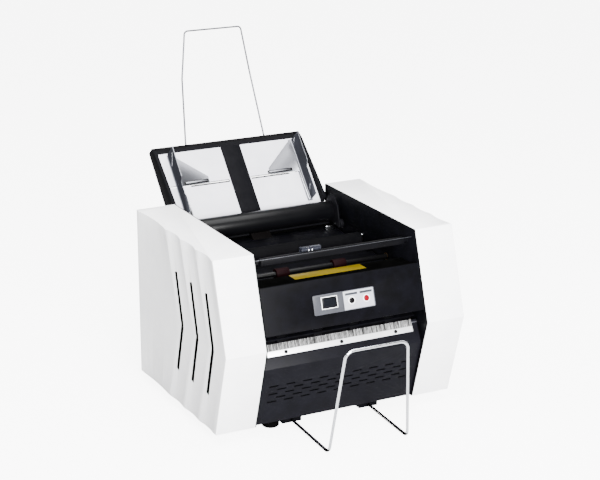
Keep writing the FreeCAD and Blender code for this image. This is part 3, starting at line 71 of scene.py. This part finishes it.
# a finish: two colours that drift over the surface, grain in mm, and how rough, bumpy and shiny it is.
# cloud is the size of the drift in grains. draw scales the pattern along x, y and z: less than 1 draws it out
finishes = {
    # powder coat on sheet steel: fine orange peel, softly glossy white
    "whitePowderCoat": dict(light="F2F2F3", dark="ECECEE", rough=(0.42, 0.52), grain=1.6, bump=0.04,
                            spec=0.25),
    # black powder coat: charcoal under studio light, finer peel
    "blackPowderCoat": dict(light="060609", dark="040405", rough=(0.42, 0.54), grain=1.1, bump=0.08,
                            spec=0.02),
    # the same coat on the lower panel, painted lighter and with a blue cast as painted light: a lit copy of
    # the black coat, satin
    "litBlackCoat": dict(light="0C0C10", dark="09090C", rough=(0.4, 0.5), grain=1.3, bump=0.06, spec=0.04),
    # black ABS, moulded with a spark eroded grain: matt
    "blackAbs": dict(light="09090B", dark="060608", rough=(0.45, 0.58), grain=0.8, bump=0.12, spec=0.02),
    # extruded tube, polished and then dusted by use
    "polishedBlackTube": dict(light="040405", dark="030304", rough=(0.26, 0.36), grain=3.0, bump=0.02,
                              spec=0.1),
    # moulded natural rubber, matt with talc in the pores; also the flat black of the painted shade in and
    # behind the slots of the covers and on the shelf
    "blackRubberAndShade": dict(light="050505", dark="030303", rough=(0.7, 0.85), grain=0.9, bump=0.2, spec=0.0),
    # ground rubber sleeve, dull with a ground texture
    "groundRubber": dict(light="050506", dark="030304", rough=(0.6, 0.72), grain=0.7, bump=0.25, spec=0.02),
    # moulded red rubber, painted nearly black as painted shade of the wheels under the bar, so that only its
    # lit rims look red
    "shadedRedRubber": dict(light="0C0102", dark="080102", rough=(0.55, 0.68), grain=0.8, bump=0.15, spec=0.03),
    # separator cork rubber, painted nearly black as painted shade of the pad in its dark well, with crumbs
    "shadedCorkRubber": dict(light="070606", dark="050404", rough=(0.75, 0.9), grain=1.2, bump=0.3, spec=0.02),
    # moulded neoprene of the belts, dull black
    "beltRubber": dict(light="0C0C0D", dark="080809", rough=(0.55, 0.65), grain=1.0, bump=0.1, spec=0.1),
    # zinc plated steel, bright with cloudy spangle; the same finish makes the painted highlights on the edges
    # of the guide flanges
    "zincSteelAndHighlight": dict(light="C9CACD", dark="A9AAAE", rough=(0.2, 0.34), grain=4.0, bump=0.02, metal=1.0),
    # natural extruded aluminium, pale satin
    "satinAluminium": dict(light="FAFAFC", dark="EDEDF0", rough=(0.3, 0.42), grain=2.0, bump=0.02, metal=0.5),
    # dark anodised aluminium, satin with a blue grey cast
    "darkAnodised": dict(light="060608", dark="040405", rough=(0.3, 0.4), grain=2.0, bump=0.02, spec=0.04),
    # silver paint of the control plate, mid grey and softly glossy in the light
    "silverPaint": dict(light="323338", dark="2D2E32", rough=(0.34, 0.44), grain=0.8, bump=0.03, spec=0.15),
    # light grey powder coat of the tray panels
    "paleGreyPaint": dict(light="BCBCC2", dark="B4B4BB", rough=(0.38, 0.48), grain=1.4, bump=0.04, spec=0.25),
    # rolled sheet steel of the side guides, dull grey with drifting rolling marks
    "rolledSteel": dict(light="7E7F84", dark="66676C", rough=(0.26, 0.42), grain=9.0, bump=0.03, metal=1.0,
                        draw=(1 / 6, 1, 1)),
    # natural nylon gears, waxy
    "naturalNylon": dict(light="DDD8C8", dark="CFC9B6", rough=(0.4, 0.5), grain=1.5, bump=0.03, spec=0.4),
    # turned brass, with tool marks along the shaft
    "turnedBrass": dict(light="6E5534", dark="523F26", rough=(0.22, 0.34), grain=1.0, bump=0.03, metal=1.0,
                        draw=(1 / 5, 1, 1)),
    # stoved grey enamel of the motor, smooth and glossy
    "motorEnamel": dict(light="5A5C60", dark="4A4C50", rough=(0.35, 0.5), grain=1.2, bump=0.06, spec=0.45),
    # chrome plated wire, nearly mirror with faint drawing lines
    "chromeWire": dict(light="E2E4E8", dark="CDCFD4", rough=(0.1, 0.18), grain=6.0, bump=0.01, metal=1.0),
    # polished ABS of the keys, black and red, glossy
    "glossBlackKey": dict(light="070708", dark="050506", rough=(0.18, 0.26), grain=3.0, bump=0.01, spec=0.15),
    "glossRedKey": dict(light="5E000F", dark="50000C", rough=(0.2, 0.3), grain=3.0, bump=0.01, spec=0.1),
    # glass fibre board under green lacquer
    "greenBoard": dict(light="1F6B3C", dark="16552E", rough=(0.3, 0.42), grain=0.9, bump=0.05, spec=0.5),
    # oil blackened steel shafts, dark satin
    "blackOxide": dict(light="040405", dark="030303", rough=(0.28, 0.4), grain=1.4, bump=0.02, spec=0.1,
                       draw=(1 / 5, 1, 1)),
    # the rolled sheet of the guides where it stands on edge, painted dark grey as painted shade
    "shadedGuideSteel": dict(light="2C2D32", dark="232428", rough=(0.34, 0.46), grain=7.0, bump=0.03, spec=0.0,
                          draw=(1 / 6, 1, 1)),
    # the flat soles of the guides, rubbed dull by paper
    "rubbedSteel": dict(light="55565C", dark="404147", rough=(0.4, 0.5), grain=8.0, bump=0.03, spec=0.02,
                        draw=(1 / 6, 1, 1)),
    # drawn steel wire under dull grey lacquer; the same grey makes the painted highlight on the front bar
    "drawnWireAndHighlight": dict(light="4C4D52", dark="3A3B40", rough=(0.26, 0.36), grain=5.0, bump=0.02, metal=0.6),
    # plain yellow film on the shelf
    "yellowFilm": dict(light="5E5002", dark="524501", rough=(0.3, 0.42), grain=5.0, bump=0.02, spec=0.06),
    # undyed conductive bristles: pale hairs, with painted shade of the gaps between them in dark upright
    # streaks
    "paleBristleGapShade": dict(light="AAAAAA", dark="1C1C1C", rough=(0.4, 0.6), grain=1.2, bump=0.1, spec=0.2,
                        cloud=3.0, draw=(1, 0.08, 0.08)),
    # moulded white ABS of the bezel and the key rings, glossy
    "whiteGloss": dict(light="F2F3F5", dark="E8E9EC", rough=(0.2, 0.3), grain=2.0, bump=0.01, spec=0.5),
    # dark display glass, slate when it is off
    "darkScreen": dict(light="0C0D11", dark="090A0D", rough=(0.1, 0.16), grain=8.0, bump=0.005, spec=0.05),
    # polyester film under the keys, pale grey, and the matt bars printed on it
    "fieldFilm": dict(light="94969E", dark="8C8E96", rough=(0.3, 0.4), grain=1.0, bump=0.01, spec=0.1),
    "greyPrint": dict(light="2A2C30", dark="25272B", rough=(0.35, 0.45), grain=1.0, bump=0.02, spec=0.1),
}
pattern = dict(grainDetail=3.0, grainRough=0.55, cloud=24, cloudDetail=4.0, cloudRough=0.6,
               darkBelow=0.35, lightAbove=0.65, bumpDepth=0.3)


def makeFinish(name, look):
    mat = bpy.data.materials.new(name)
    mat.use_nodes = True
    tree = mat.node_tree
    bsdf = tree.nodes["Principled BSDF"]
    bsdf.inputs["Metallic"].default_value = look.get("metal", 0.0)
    bsdf.inputs["Specular IOR Level"].default_value = look.get("spec", 0.5)
    place = addNode(tree, "ShaderNodeTexCoord").outputs["Object"]
    drawn = addNode(tree, "ShaderNodeMapping", {"Vector": place, "Scale": look.get("draw", (1, 1, 1))})
    perMetre = 1.0 / (look["grain"] * mm)
    grain = addNode(tree, "ShaderNodeTexNoise", {
        "Vector": drawn.outputs["Vector"], "Scale": perMetre,
        "Detail": pattern["grainDetail"], "Roughness": pattern["grainRough"]})
    cloud = addNode(tree, "ShaderNodeTexNoise", {
        "Vector": drawn.outputs["Vector"], "Scale": perMetre / look.get("cloud", pattern["cloud"]),
        "Detail": pattern["cloudDetail"], "Roughness": pattern["cloudRough"]})
    tint = addNode(tree, "ShaderNodeValToRGB", {"Fac": cloud.outputs["Fac"]})
    tint.color_ramp.elements[0].position = pattern["darkBelow"]
    tint.color_ramp.elements[0].color = toLinear(look["dark"])
    tint.color_ramp.elements[1].position = pattern["lightAbove"]
    tint.color_ramp.elements[1].color = toLinear(look["light"])
    tree.links.new(tint.outputs["Color"], bsdf.inputs["Base Color"])
    low, high = look["rough"]
    gloss = addNode(tree, "ShaderNodeMapRange", {
        "Value": cloud.outputs["Fac"], "To Min": low, "To Max": high})
    tree.links.new(gloss.outputs["Result"], bsdf.inputs["Roughness"])
    bump = addNode(tree, "ShaderNodeBump", {
        "Height": grain.outputs["Fac"], "Strength": look["bump"],
        "Distance": look["grain"] * mm * pattern["bumpDepth"]})
    tree.links.new(bump.outputs["Normal"], bsdf.inputs["Normal"])
    return mat


# cast acrylic, polished: clear, faint blue in the thickness
acrylic = dict(light="464A58", dark="2A2C36", clear=0.8, bends=1.49, rough=0.06, perMetre=120.0, detail=2.0)


def makeClearAcrylic():
    mat = bpy.data.materials.new("clearAcrylic")
    mat.use_nodes = True
    tree = mat.node_tree
    bsdf = tree.nodes["Principled BSDF"]
    bsdf.inputs["Transmission Weight"].default_value = acrylic["clear"]
    bsdf.inputs["IOR"].default_value = acrylic["bends"]
    bsdf.inputs["Roughness"].default_value = acrylic["rough"]
    place = addNode(tree, "ShaderNodeTexCoord").outputs["Object"]
    haze = addNode(tree, "ShaderNodeTexNoise", {
        "Vector": place, "Scale": acrylic["perMetre"], "Detail": acrylic["detail"]})
    tint = addNode(tree, "ShaderNodeValToRGB", {"Fac": haze.outputs["Fac"]})
    tint.color_ramp.elements[0].color = toLinear(acrylic["dark"])
    tint.color_ramp.elements[1].color = toLinear(acrylic["light"])
    tree.links.new(tint.outputs["Color"], bsdf.inputs["Base Color"])
    return mat


mats = {name: makeFinish(name, look) for name, look in finishes.items()}
mats["clearAcrylic"] = makeClearAcrylic()

slotFinish = {
    "cover_white": "whitePowderCoat", "black_steel": "blackPowderCoat", "black_plastic": "blackAbs",
    "black_gloss": "polishedBlackTube", "black_rubber": "blackRubberAndShade", "roller_rubber": "groundRubber",
    "red_rubber": "shadedRedRubber", "pad_rubber": "shadedCorkRubber", "belt_rubber": "beltRubber",
    "zinc_steel": "zincSteelAndHighlight", "brush_aluminium": "satinAluminium", "bar_aluminium": "darkAnodised",
    "brush_bristle": "paleBristleGapShade", "control_silver": "silverPaint", "display_plastic": "whiteGloss",
    "button_black": "glossBlackKey", "button_red": "glossRedKey", "circuit_board": "greenBoard",
    "clear_acrylic": "clearAcrylic", "tray_white": "paleGreyPaint", "guide_steel": "rolledSteel",
    "gear_nylon": "naturalNylon", "brass_gear": "turnedBrass", "motor_steel": "motorEnamel",
    "chrome_wire": "chromeWire", "black_oxide": "blackOxide",
}

slotOf = {part["node"]: part["material_slot"] for part in frame["record"]["subparts"]}
for name, slotName in slotOf.items():
    nodes[name].data.materials.clear()
    nodes[name].data.materials.append(mats[slotFinish[slotName]])
print("finishes on", len(slotOf), "CAD nodes")


# pieces that stand for CAD nodes: merged, bevelled and smooth

bodyOf = {name: body for body, names in frame["record"]["behaviour"]["bodies"].items() for name in names}
machine = bodyOf["left_cover"]
bevelSteps = 2
# doubles closer than merge in mm are one point, facets within flat are one face, and edges sharper than
# sharp are bevelled and stay sharp, both in degrees
softening = dict(merge=0.004, flat=0.4, sharp=32)


def pick(*objs):
    bpy.ops.object.select_all(action="DESELECT")
    for obj in objs:
        obj.select_set(True)
    bpy.context.view_layer.objects.active = objs[-1]


def bevelEdges(obj, width, sharpest):
    mod = obj.modifiers.new("edges", "BEVEL")
    mod.width = width * mm
    mod.segments = bevelSteps
    mod.limit_method = "ANGLE"
    mod.angle_limit = math.radians(sharpest)
    bpy.ops.object.modifier_apply(modifier=mod.name)


def smoothBelow(degrees):
    bpy.ops.object.shade_smooth_by_angle(angle=math.radians(degrees))


def addPiece(obj, body, finish, replaced=()):
    obj.data.materials.clear()
    obj.data.materials.append(mats[finish])
    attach(obj, body)
    if replaced:
        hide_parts(*replaced)
    return obj


def softened(nodeName, bevel, finish):
    obj = bpy.data.objects.new(nodeName + "Soft", nodes[nodeName].data.copy())
    bpy.context.scene.collection.objects.link(obj)
    pick(obj)
    bpy.ops.object.mode_set(mode="EDIT")
    bpy.ops.mesh.select_all(action="SELECT")
    bpy.ops.mesh.remove_doubles(threshold=softening["merge"] * mm)
    if bevel:
        bpy.ops.mesh.dissolve_limited(angle_limit=math.radians(softening["flat"]))
    bpy.ops.object.mode_set(mode="OBJECT")
    if bevel:
        bevelEdges(obj, bevel, softening["sharp"])
    smoothBelow(softening["sharp"])
    return addPiece(obj, bodyOf[nodeName], finish, [nodeName])


# bevel in mm of each softened node, 0 where its round faces only need smoothing
softEdges = {
    "left_cover": 0.5, "right_cover": 0.5, "left_side_plate": 0.25, "right_side_plate": 0.25,
    "rear_panel": 0.25, "base_plate": 0.3, "upper_front_panel": 0.4, "lower_front_panel": 0.3,
    "rubber_feet": 0.5, "tie_rods": 0.3, "brush_holder": 0.2, "brush_screws": 0.3,
    "control_plate": 0.25, "display_window": 0.3, "start_button": 0.25, "stop_button": 0.25,
    "front_bar": 0.35, "clear_block": 0.4, "deck_plate": 0.3, "tray_frame": 0.5,
    "left_tray_panel": 0.25, "right_tray_panel": 0.25, "tray_centre_strip": 0.25,
    "left_side_guide": 0.0, "right_side_guide": 0.0, "paper_support_wire": 0.0, "output_bail": 0.0,
    "feed_roller_cover": 0.3, "cover_arms": 0.4, "feed_shaft": 0.0, "feed_tyres": 0.6,
    "separator_pad": 0.4, "release_lever": 0.3, "fold_roller_1": 0.4, "fold_roller_2": 0.4,
    "fold_roller_3": 0.4, "fold_roller_4": 0.4, "exit_roller": 0.4, "hold_down_shaft": 0.2,
    "hold_down_wheels": 0.7, "upper_fold_plate": 0.3, "lower_fold_plate": 0.3, "exit_guide": 0.3,
    "drive_motor": 0.4, "shaft_bushes": 0.0, "power_inlet": 0.4, "power_rocker": 0.3,
    "feed_belt": 0.0, "exit_belt": 0.0,
}
# nodes that look other than the rest of their slot
ownFinish = {
    # the lower front panel takes the lighter copy of the black coat, painted light
    "brush_screws": "blackOxide", "lower_front_panel": "litBlackCoat", "paper_support_wire": "drawnWireAndHighlight",
}
soft = {name: softened(name, bevel, ownFinish.get(name, slotFinish[slotOf[name]]))
        for name, bevel in softEdges.items()}
print("softened", len(soft), "nodes")


# parts of softened nodes that have another finish

def split(nodeName, name, test, finish, spread=0.0):
    obj = soft[nodeName]
    pick(obj)
    bpy.ops.object.mode_set(mode="EDIT")
    bpy.ops.mesh.select_mode(type="FACE")
    bpy.ops.mesh.select_all(action="DESELECT")
    bpy.ops.object.mode_set(mode="OBJECT")
    for face in obj.data.polygons:
        face.select = test(face.center / mm, face.normal)
    bpy.ops.object.mode_set(mode="EDIT")
    bpy.ops.mesh.separate(type="SELECTED")
    bpy.ops.object.mode_set(mode="OBJECT")
    piece = [other for other in bpy.context.selected_objects if other is not obj][0]
    piece.name = name
    if spread:
        pick(piece)
        bpy.ops.object.mode_set(mode="EDIT")
        bpy.ops.mesh.select_all(action="SELECT")
        bpy.ops.transform.shrink_fatten(value=spread * mm)
        bpy.ops.object.mode_set(mode="OBJECT")
    return addPiece(piece, bodyOf[nodeName], finish)


sides = {"left": -1, "right": 1}
slotWalls = dict(depth=(150, 366), rise=(88, 285), outwards=0.8)  # walls of the slots in the covers
flange = dict(outwards=0.7)  # the upright sheet of the guides
shelf = dict(upwards=0.9, above=285)
bailLegs = dict(below=9, sleeve=0.25)  # the wire near the floor, in thin rubber sleeves


# the walls of the slots in the covers get black as painted shade of the dark inside
def onSlotWall(centre, normal):
    nearest, farthest = slotWalls["depth"]
    lowest, highest = slotWalls["rise"]
    inField = nearest < rearFace - centre.y < farthest and lowest < centre.z < highest
    return inField and abs(normal.x) < slotWalls["outwards"]


# the upright faces of the guides, picked by which way they face, get a darker grey as painted shade
def onFlange(centre, normal):
    return abs(normal.x) > flange["outwards"]


# the top of the shelf gets black as painted shade, darker than the rest of the panel
def onShelf(centre, normal):
    return normal.z > shelf["upwards"] and centre.z > shelf["above"]


def onBailLegs(centre, normal):
    return centre.z < bailLegs["below"]


for side in sides:
    split(side + "_cover", side + "VentWallShade", onSlotWall, "blackRubberAndShade")
    split(side + "_side_guide", side + "GuideFlangeShade", onFlange, "shadedGuideSteel")
split("upper_front_panel", "frontShelfShade", onShelf, "blackRubberAndShade")
split("output_bail", "bailSleeves", onBailLegs, "blackRubberAndShade", bailLegs["sleeve"])
print("split slot walls, flanges, shelf and bail")


# new pieces lie on planes of the machine, with places as x, way up the plane and way out of it:
# y and z of each plane's origin in mm, and its lean about x in degrees
planes = {
    "level": (0, 0, 0), "tray": (173.525, 318.7, 48.73), "front": (-224.77, 251.5, 72.73),
    "facet": (-226.175, 143, 61.8), "foot": (-186.9, 21, 107.86),
}
newEdges = dict(sharpest=40, smooth=35)
discSides = 24


def put(obj, plane):
    y, z, lean = planes[plane]
    place = Matrix.Translation(Vector((0, y, z)) * mm)
    obj.matrix_world = place @ Matrix.Rotation(math.radians(lean), 4, "X") @ obj.matrix_world
    pick(obj)
    bpy.ops.object.transform_apply(location=True, rotation=True, scale=True)


def finishNew(obj, name, plane, bevel):
    obj.name = name
    put(obj, plane)
    if bevel:
        bevelEdges(obj, bevel, newEdges["sharpest"])
        smoothBelow(newEdges["smooth"])


def block(name, finish, slotName, plane, centre, size, bevel=0.0, turn=(0, 0, 0), body=machine):
    bpy.ops.object.select_all(action="DESELECT")
    bpy.ops.mesh.primitive_cube_add(
        size=1, location=Vector(centre) * mm, rotation=[math.radians(angle) for angle in turn])
    obj = bpy.context.object
    obj.scale = Vector(size) * mm
    bpy.context.view_layer.update()
    finishNew(obj, name, plane, bevel)
    return addPiece(obj, body, finish)


def disc(name, finish, plane, centre, radius, height, bevel, turn=(0, 0, 0), body=machine):
    bpy.ops.object.select_all(action="DESELECT")
    bpy.ops.mesh.primitive_cylinder_add(
        vertices=discSides, radius=radius * mm, depth=height * mm, location=Vector(centre) * mm,
        rotation=[math.radians(angle) for angle in turn])
    obj = bpy.context.object
    finishNew(obj, name, plane, bevel)
    return addPiece(obj, body, finish)


# black sheet behind the slots of the covers: painted shade of the dark inside
shadeSheet = dict(x=240.4, depth=(150, 372), rise=(82, 291), thick=1.0)
for side, way in sides.items():
    block("ventShadeSheet" + side.capitalize(), "blackRubberAndShade", "black_rubber", "level",
          centre=(way * shadeSheet["x"], rearFace - sum(shadeSheet["depth"]) / 2, sum(shadeSheet["rise"]) / 2),
          size=(shadeSheet["thick"], shadeSheet["depth"][1] - shadeSheet["depth"][0], shadeSheet["rise"][1] - shadeSheet["rise"][0]))

# black strips in the slots, an upper and a lower one to each bent slot: painted shade of the dark inside of
# the slots. They follow the hollow of the pleats. legs: up or down from the bend, how far back the end lies,
# how much deeper it lies
shadeStrips = dict(x=248.6, first=218.7, pitch=69.5, rise=186.5, half=98.0, width=9.4, thick=2.6,
              legs=((1, 30.46, 1.75), (-1, 30.42, 1.25)))
for way in sides.values():
    for slot in range(3):
        bend = rearFace - shadeStrips["first"] - shadeStrips["pitch"] * slot
        for up, back, deeper in shadeStrips["legs"]:
            length = math.hypot(shadeStrips["half"], back)
            lean = math.degrees(math.atan2(-back, up * shadeStrips["half"]))
            sink = math.degrees(math.atan2(deeper, length))
            block("ventStrip%d%d%d" % (way > 0, slot, up > 0), "blackRubberAndShade", "black_rubber", "level",
                  centre=(way * (shadeStrips["x"] - deeper / 2), bend + back / 2,
                          shadeStrips["rise"] + up * shadeStrips["half"] / 2),
                  size=(shadeStrips["thick"], shadeStrips["width"], length),
                  turn=(lean if up > 0 else lean + 180, -up * way * sink, 0))

# black lip at the foot of the tray panels, felt between the tray and the rear panel behind the feed deck,
# and cloth behind the vents of the lower panel
feedLip = dict(plane="tray", centre=(0, -39.0, -0.35), size=(322, 23.2, 2.7), bevel=0.1)
deckFelt = dict(plane="level", centre=(0, 168.0, 283.2), size=(333, 1.6, 35.6))
ventCloth = dict(plane="foot", centre=(0, 69, -4.5), size=(318, 52, 0.8))
block("feedLip", "blackAbs", "black_steel", **feedLip)
block("deckFelt", "blackRubberAndShade", "black_rubber", **deckFelt)
block("ventCloth", "blackRubberAndShade", "black_rubber", **ventCloth)
print("vents, lip and felt")

# exit brush: a row of tapered tufts in front of a dark core. tufts: foot radius, tip radius, tilt
brush = dict(half=152.5, low=32.62, out=1.0, height=13.0, pitch=2.5, sides=6, smooth=50,
             tufts=((0.75, 0.4, 1.5), (0.95, 0.6, -2.0), (0.6, 0.35, 0.8)))
core = dict(height=11.0, thick=0.5, out=0.35)
tufts = []
for number, (foot, tip, tilt) in enumerate(brush["tufts"]):
    x = -brush["half"] + (number + 0.5) * brush["pitch"]
    bpy.ops.object.select_all(action="DESELECT")
    bpy.ops.mesh.primitive_cone_add(
        vertices=brush["sides"], radius1=foot * mm, radius2=tip * mm, depth=brush["height"] * mm,
        location=Vector((x, brush["low"] + brush["height"] / 2, brush["out"])) * mm,
        rotation=(-math.pi / 2, 0, math.radians(tilt)))
    tufts.append(bpy.context.object)
pick(*tufts)
bpy.ops.object.join()
row = bpy.context.object
row.name = "brushTufts"
put(row, "facet")
mod = row.modifiers.new("row", "ARRAY")
step = len(tufts) * brush["pitch"]
mod.count = round(2 * brush["half"] / step)
mod.use_relative_offset = False
mod.use_constant_offset = True
mod.constant_offset_displace = (step * mm, 0, 0)
bpy.ops.object.modifier_apply(modifier=mod.name)
smoothBelow(brush["smooth"])
addPiece(row, machine, "paleBristleGapShade", ["exit_brush"])
block("brushCore", "blackRubberAndShade", "black_rubber", "facet",
      centre=(0, brush["low"] + core["height"] / 2, core["out"]),
      size=(2 * brush["half"], core["height"], core["thick"]))
print("exit brush")

# face of the control plate: screen with its black border in the white bezel, and a pale field for the keys
screen = dict(x=-31.1, up=2.0)
border = dict(out=2.0, size=(31.2, 20.8, 0.6), bevel=0.2)
glass = dict(out=2.2, size=(25.6, 15.6, 0.5), bevel=0.15)
keyField = dict(plane="front", centre=(30.2, 0.0, 1.65), size=(63.0, 34.0, 0.3), bevel=0.1)
block("screenBorder", "glossBlackKey", "display_plastic", "front",
      (screen["x"], screen["up"], border["out"]), border["size"], border["bevel"])
block("screenGlass", "darkScreen", "display_plastic", "front",
      (screen["x"], screen["up"], glass["out"]), glass["size"], glass["bevel"])
block("keyField", "fieldFilm", "display_plastic", **keyField)

# a grey bar above each key, a white ring round it, and a collar in the key's own colour
keys = dict(x=(15.2, 46.1), up=-1.0, finish=("glossBlackKey", "glossRedKey"),
            slot=("button_black", "button_red"))
bar = dict(up=11.4, out=1.8, size=(26.0, 4.2, 0.3), bevel=0.1)
ring = dict(out=1.9, radius=7.2, height=0.6, bevel=0.2)
collar = dict(out=2.1, radius=6.0, height=0.7, bevel=0.2)
for number, x in enumerate(keys["x"]):
    block("keyBar%d" % number, "greyPrint", "display_plastic", "front",
          (x, bar["up"], bar["out"]), bar["size"], bar["bevel"])
    disc("keyRing%d" % number, "whiteGloss", "front",
         (x, keys["up"], ring["out"]), ring["radius"], ring["height"], ring["bevel"])
    disc("keyCollar%d" % number, keys["finish"][number], "front",
         (x, keys["up"], collar["out"]), collar["radius"], collar["height"], collar["bevel"])
print("control face")

# plain yellow strip on the shelf, painted highlight along the top edge of the front bar, glints in the clear
# block behind it, and the rod at the right end of the brush
yellowStrip = dict(plane="level", centre=(0, rearFace - 330.6, 289.15), size=(150, 26.4, 0.3), bevel=0.1)
barEdgeHighlight = dict(plane="level", centre=(0, -183.5, 340.75), size=(332.6, 0.7, 0.6), bevel=0.2)
glint = dict(x=(-45.5, -38.5), y=-170.9, rise=340.0, size=(1.6, 0.3, 6.5), bevel=0.1)
brushRod = dict(plane="facet", centre=(160.0, 39.5, 1.2), size=(12.6, 2.4, 2.4), bevel=0.5)
block("yellowStrip", "yellowFilm", "display_plastic", **yellowStrip)
block("barEdgeHighlight", "drawnWireAndHighlight", "bar_aluminium", **barEdgeHighlight)
for number, x in enumerate(glint["x"]):
    block("blockGlint%d" % number, "whiteGloss", "clear_acrylic", "level",
          (x, glint["y"], glint["rise"]), glint["size"], glint["bevel"])
block("brushRod", "drawnWireAndHighlight", "zinc_steel", **brushRod)
print("shelf and bar")

# at the guides: dark hinge with its pin at the foot of each wing, and the flat sole outside the wing
wings = dict(x=dict(left=-96.4, right=91.4), width=dict(left=53.0, right=55.6), up=81.0)
hinge = dict(out=2.0, long=7.0, thick=0.8, bevel=0.1)
pin = dict(out=2.5, shorter=6, long=3.4, thick=0.8, bevel=0.3)
sole = dict(x=137.0, up=77, out=0.6, size=(11.0, 142, 0.5), bevel=0.1)
for side, way in sides.items():
    x, width, guide = wings["x"][side], wings["width"][side], bodyOf[side + "_side_guide"]
    block(side + "WingHinge", "blackOxide", "black_oxide", "tray", (x, wings["up"], hinge["out"]),
          (width, hinge["long"], hinge["thick"]), hinge["bevel"], body=guide)
    block(side + "WingPin", "rolledSteel", "guide_steel", "tray", (x, wings["up"], pin["out"]),
          (width - pin["shorter"], pin["long"], pin["thick"]), pin["bevel"], body=guide)
    block(side + "GuideSole", "rubbedSteel", "guide_steel", "tray",
          (way * sole["x"], sole["up"], sole["out"]), sole["size"], sole["bevel"], body=guide)

# painted highlights where the edges of the flanges catch the light: guide, x, and way up and out of both ends
edges = dict(leftSlitHighlight=("left", -141.4, (140, 30.8), (118.4, 9.5)),
             rightSlitHighlight=("right", 139.8, (146, 16), (131, 1.5)),
             rightTabHighlight=("right", 139.8, (36.4, 17.5), (21, 1.8)))
edgeSheet = dict(thick=0.5, wide=1.3, bevel=0.15)
for name, (side, x, start, end) in edges.items():
    up, out = (start[0] + end[0]) / 2, (start[1] + end[1]) / 2
    lean = math.degrees(math.atan2(end[1] - start[1], end[0] - start[0]))
    block(name, "zincSteelAndHighlight", "guide_steel", "tray", (x, up, out),
          (edgeSheet["thick"], math.dist(start, end), edgeSheet["wide"]), edgeSheet["bevel"],
          turn=(lean, 0, 0), body=bodyOf[side + "_side_guide"])

# spring hook on the left guide, over its dark foot
leftHook = dict(plane="tray", centre=(-126.0, 32, 1.3), size=(1.8, 46, 1.4), bevel=0.3)
leftHookFoot = dict(plane="tray", centre=(-129.0, 32, 0.9), size=(3.4, 52, 0.8), bevel=0.2)
block("leftHook", "zincSteelAndHighlight", "guide_steel", body=bodyOf["left_side_guide"], **leftHook)
block("leftHookFoot", "blackOxide", "black_oxide", body=bodyOf["left_side_guide"], **leftHookFoot)

# dark inner edge of the two guide slots in the tray, a film under the travel of the guides
shade = dict(x=67.5, up=73.4, out=0.08, size=(86, 3.0, 0.14))
for number, way in enumerate(sides.values()):
    block("slotShade%d" % number, "blackOxide", "black_oxide", "tray",
          (way * shade["x"], shade["up"], shade["out"]), shade["size"])
print("tray details")

# small screws on the inner face of the right plate. places: depth and rise
screws = dict(face=167, radius=2.6, height=1.6, bevel=0.4,
              places=((177.3, 272.9), (159.6, 291.8), (297.8, 278.2), (173.7, 229.4)))
for number, (depth, rise) in enumerate(screws["places"]):
    disc("plateScrew%d" % number, "zincSteelAndHighlight", "level",
         (screws["face"] - screws["height"] / 2, rearFace - depth, rise), screws["radius"],
         screws["height"], screws["bevel"], turn=(0, 90, 0))
print("screws")


# camera, light and floor

# degrees, and the place in mm. far is how far the camera sees, in metres
camera = dict(azimuth=-26.89, elevation=17.476, roll=-0.075, lens=105.36, sensor=36, far=50,
              place=(-1457.19, -2918.35, 1333.64))
# places and sizes in metres, power in watts
surroundings = dict(colour="FFFFFF", strength=0.62)
softboxes = dict(keySoftbox=dict(place=(-0.75, -3.3, 1.3), size=(1.6, 1.2), power=760),
                 topSoftbox=dict(place=(0, -0.2, 2.8), size=(2.4, 2.4), power=250))
aim = (0, 0, 0.2)
ground = dict(size=30, colour="B4B4B4", rough=0.9, glow="FFFFFF", seenGlow=7.0)


def setCamera():
    data = bpy.data.cameras.new("camera")
    data.lens = camera["lens"]
    data.sensor_width = camera["sensor"]
    data.clip_end = camera["far"]
    cam = bpy.data.objects.new("camera", data)
    turn = Matrix.Rotation(math.radians(camera["azimuth"]), 4, "Z")
    tilt = Matrix.Rotation(math.radians(90 - camera["elevation"]), 4, "X")
    roll = Matrix.Rotation(math.radians(camera["roll"]), 4, "Z")
    cam.matrix_world = Matrix.Translation(Vector(camera["place"]) * mm) @ turn @ tilt @ roll
    bpy.context.scene.collection.objects.link(cam)
    bpy.context.scene.camera = cam


def addSoftbox(name, place, size, power):
    data = bpy.data.lights.new(name, "AREA")
    data.shape = "RECTANGLE"
    data.size, data.size_y = size
    data.energy = power
    lamp = bpy.data.objects.new(name, data)
    lamp.location = place
    lamp.rotation_euler = (Vector(aim) - Vector(place)).to_track_quat("-Z", "Y").to_euler()
    bpy.context.scene.collection.objects.link(lamp)


def setSurroundings():
    world = bpy.data.worlds.new("studio")
    world.use_nodes = True
    background = world.node_tree.nodes["Background"]
    background.inputs["Color"].default_value = toLinear(surroundings["colour"])
    background.inputs["Strength"].default_value = surroundings["strength"]
    bpy.context.scene.world = world


def setFloor():
    # matt paper sheet, overexposed: bright to the camera, while its glow is no lamp for the machine
    mat = bpy.data.materials.new("palePaper")
    mat.use_nodes = True
    tree = mat.node_tree
    bsdf = tree.nodes["Principled BSDF"]
    bsdf.inputs["Base Color"].default_value = toLinear(ground["colour"])
    bsdf.inputs["Roughness"].default_value = ground["rough"]
    bsdf.inputs["Emission Color"].default_value = toLinear(ground["glow"])
    seen = addNode(tree, "ShaderNodeLightPath").outputs["Is Camera Ray"]
    glow = addNode(tree, "ShaderNodeMath", {0: seen, 1: ground["seenGlow"]}, operation="MULTIPLY")
    tree.links.new(glow.outputs["Value"], bsdf.inputs["Emission Strength"])
    bpy.ops.object.select_all(action="DESELECT")
    bpy.ops.mesh.primitive_plane_add(size=ground["size"], location=(0, 0, 0))
    floor = bpy.context.object
    floor.name = "floor"
    floor.data.materials.append(mat)


setCamera()
setSurroundings()
for name, lamp in softboxes.items():
    addSoftbox(name, **lamp)
setFloor()
print("camera, light and floor")
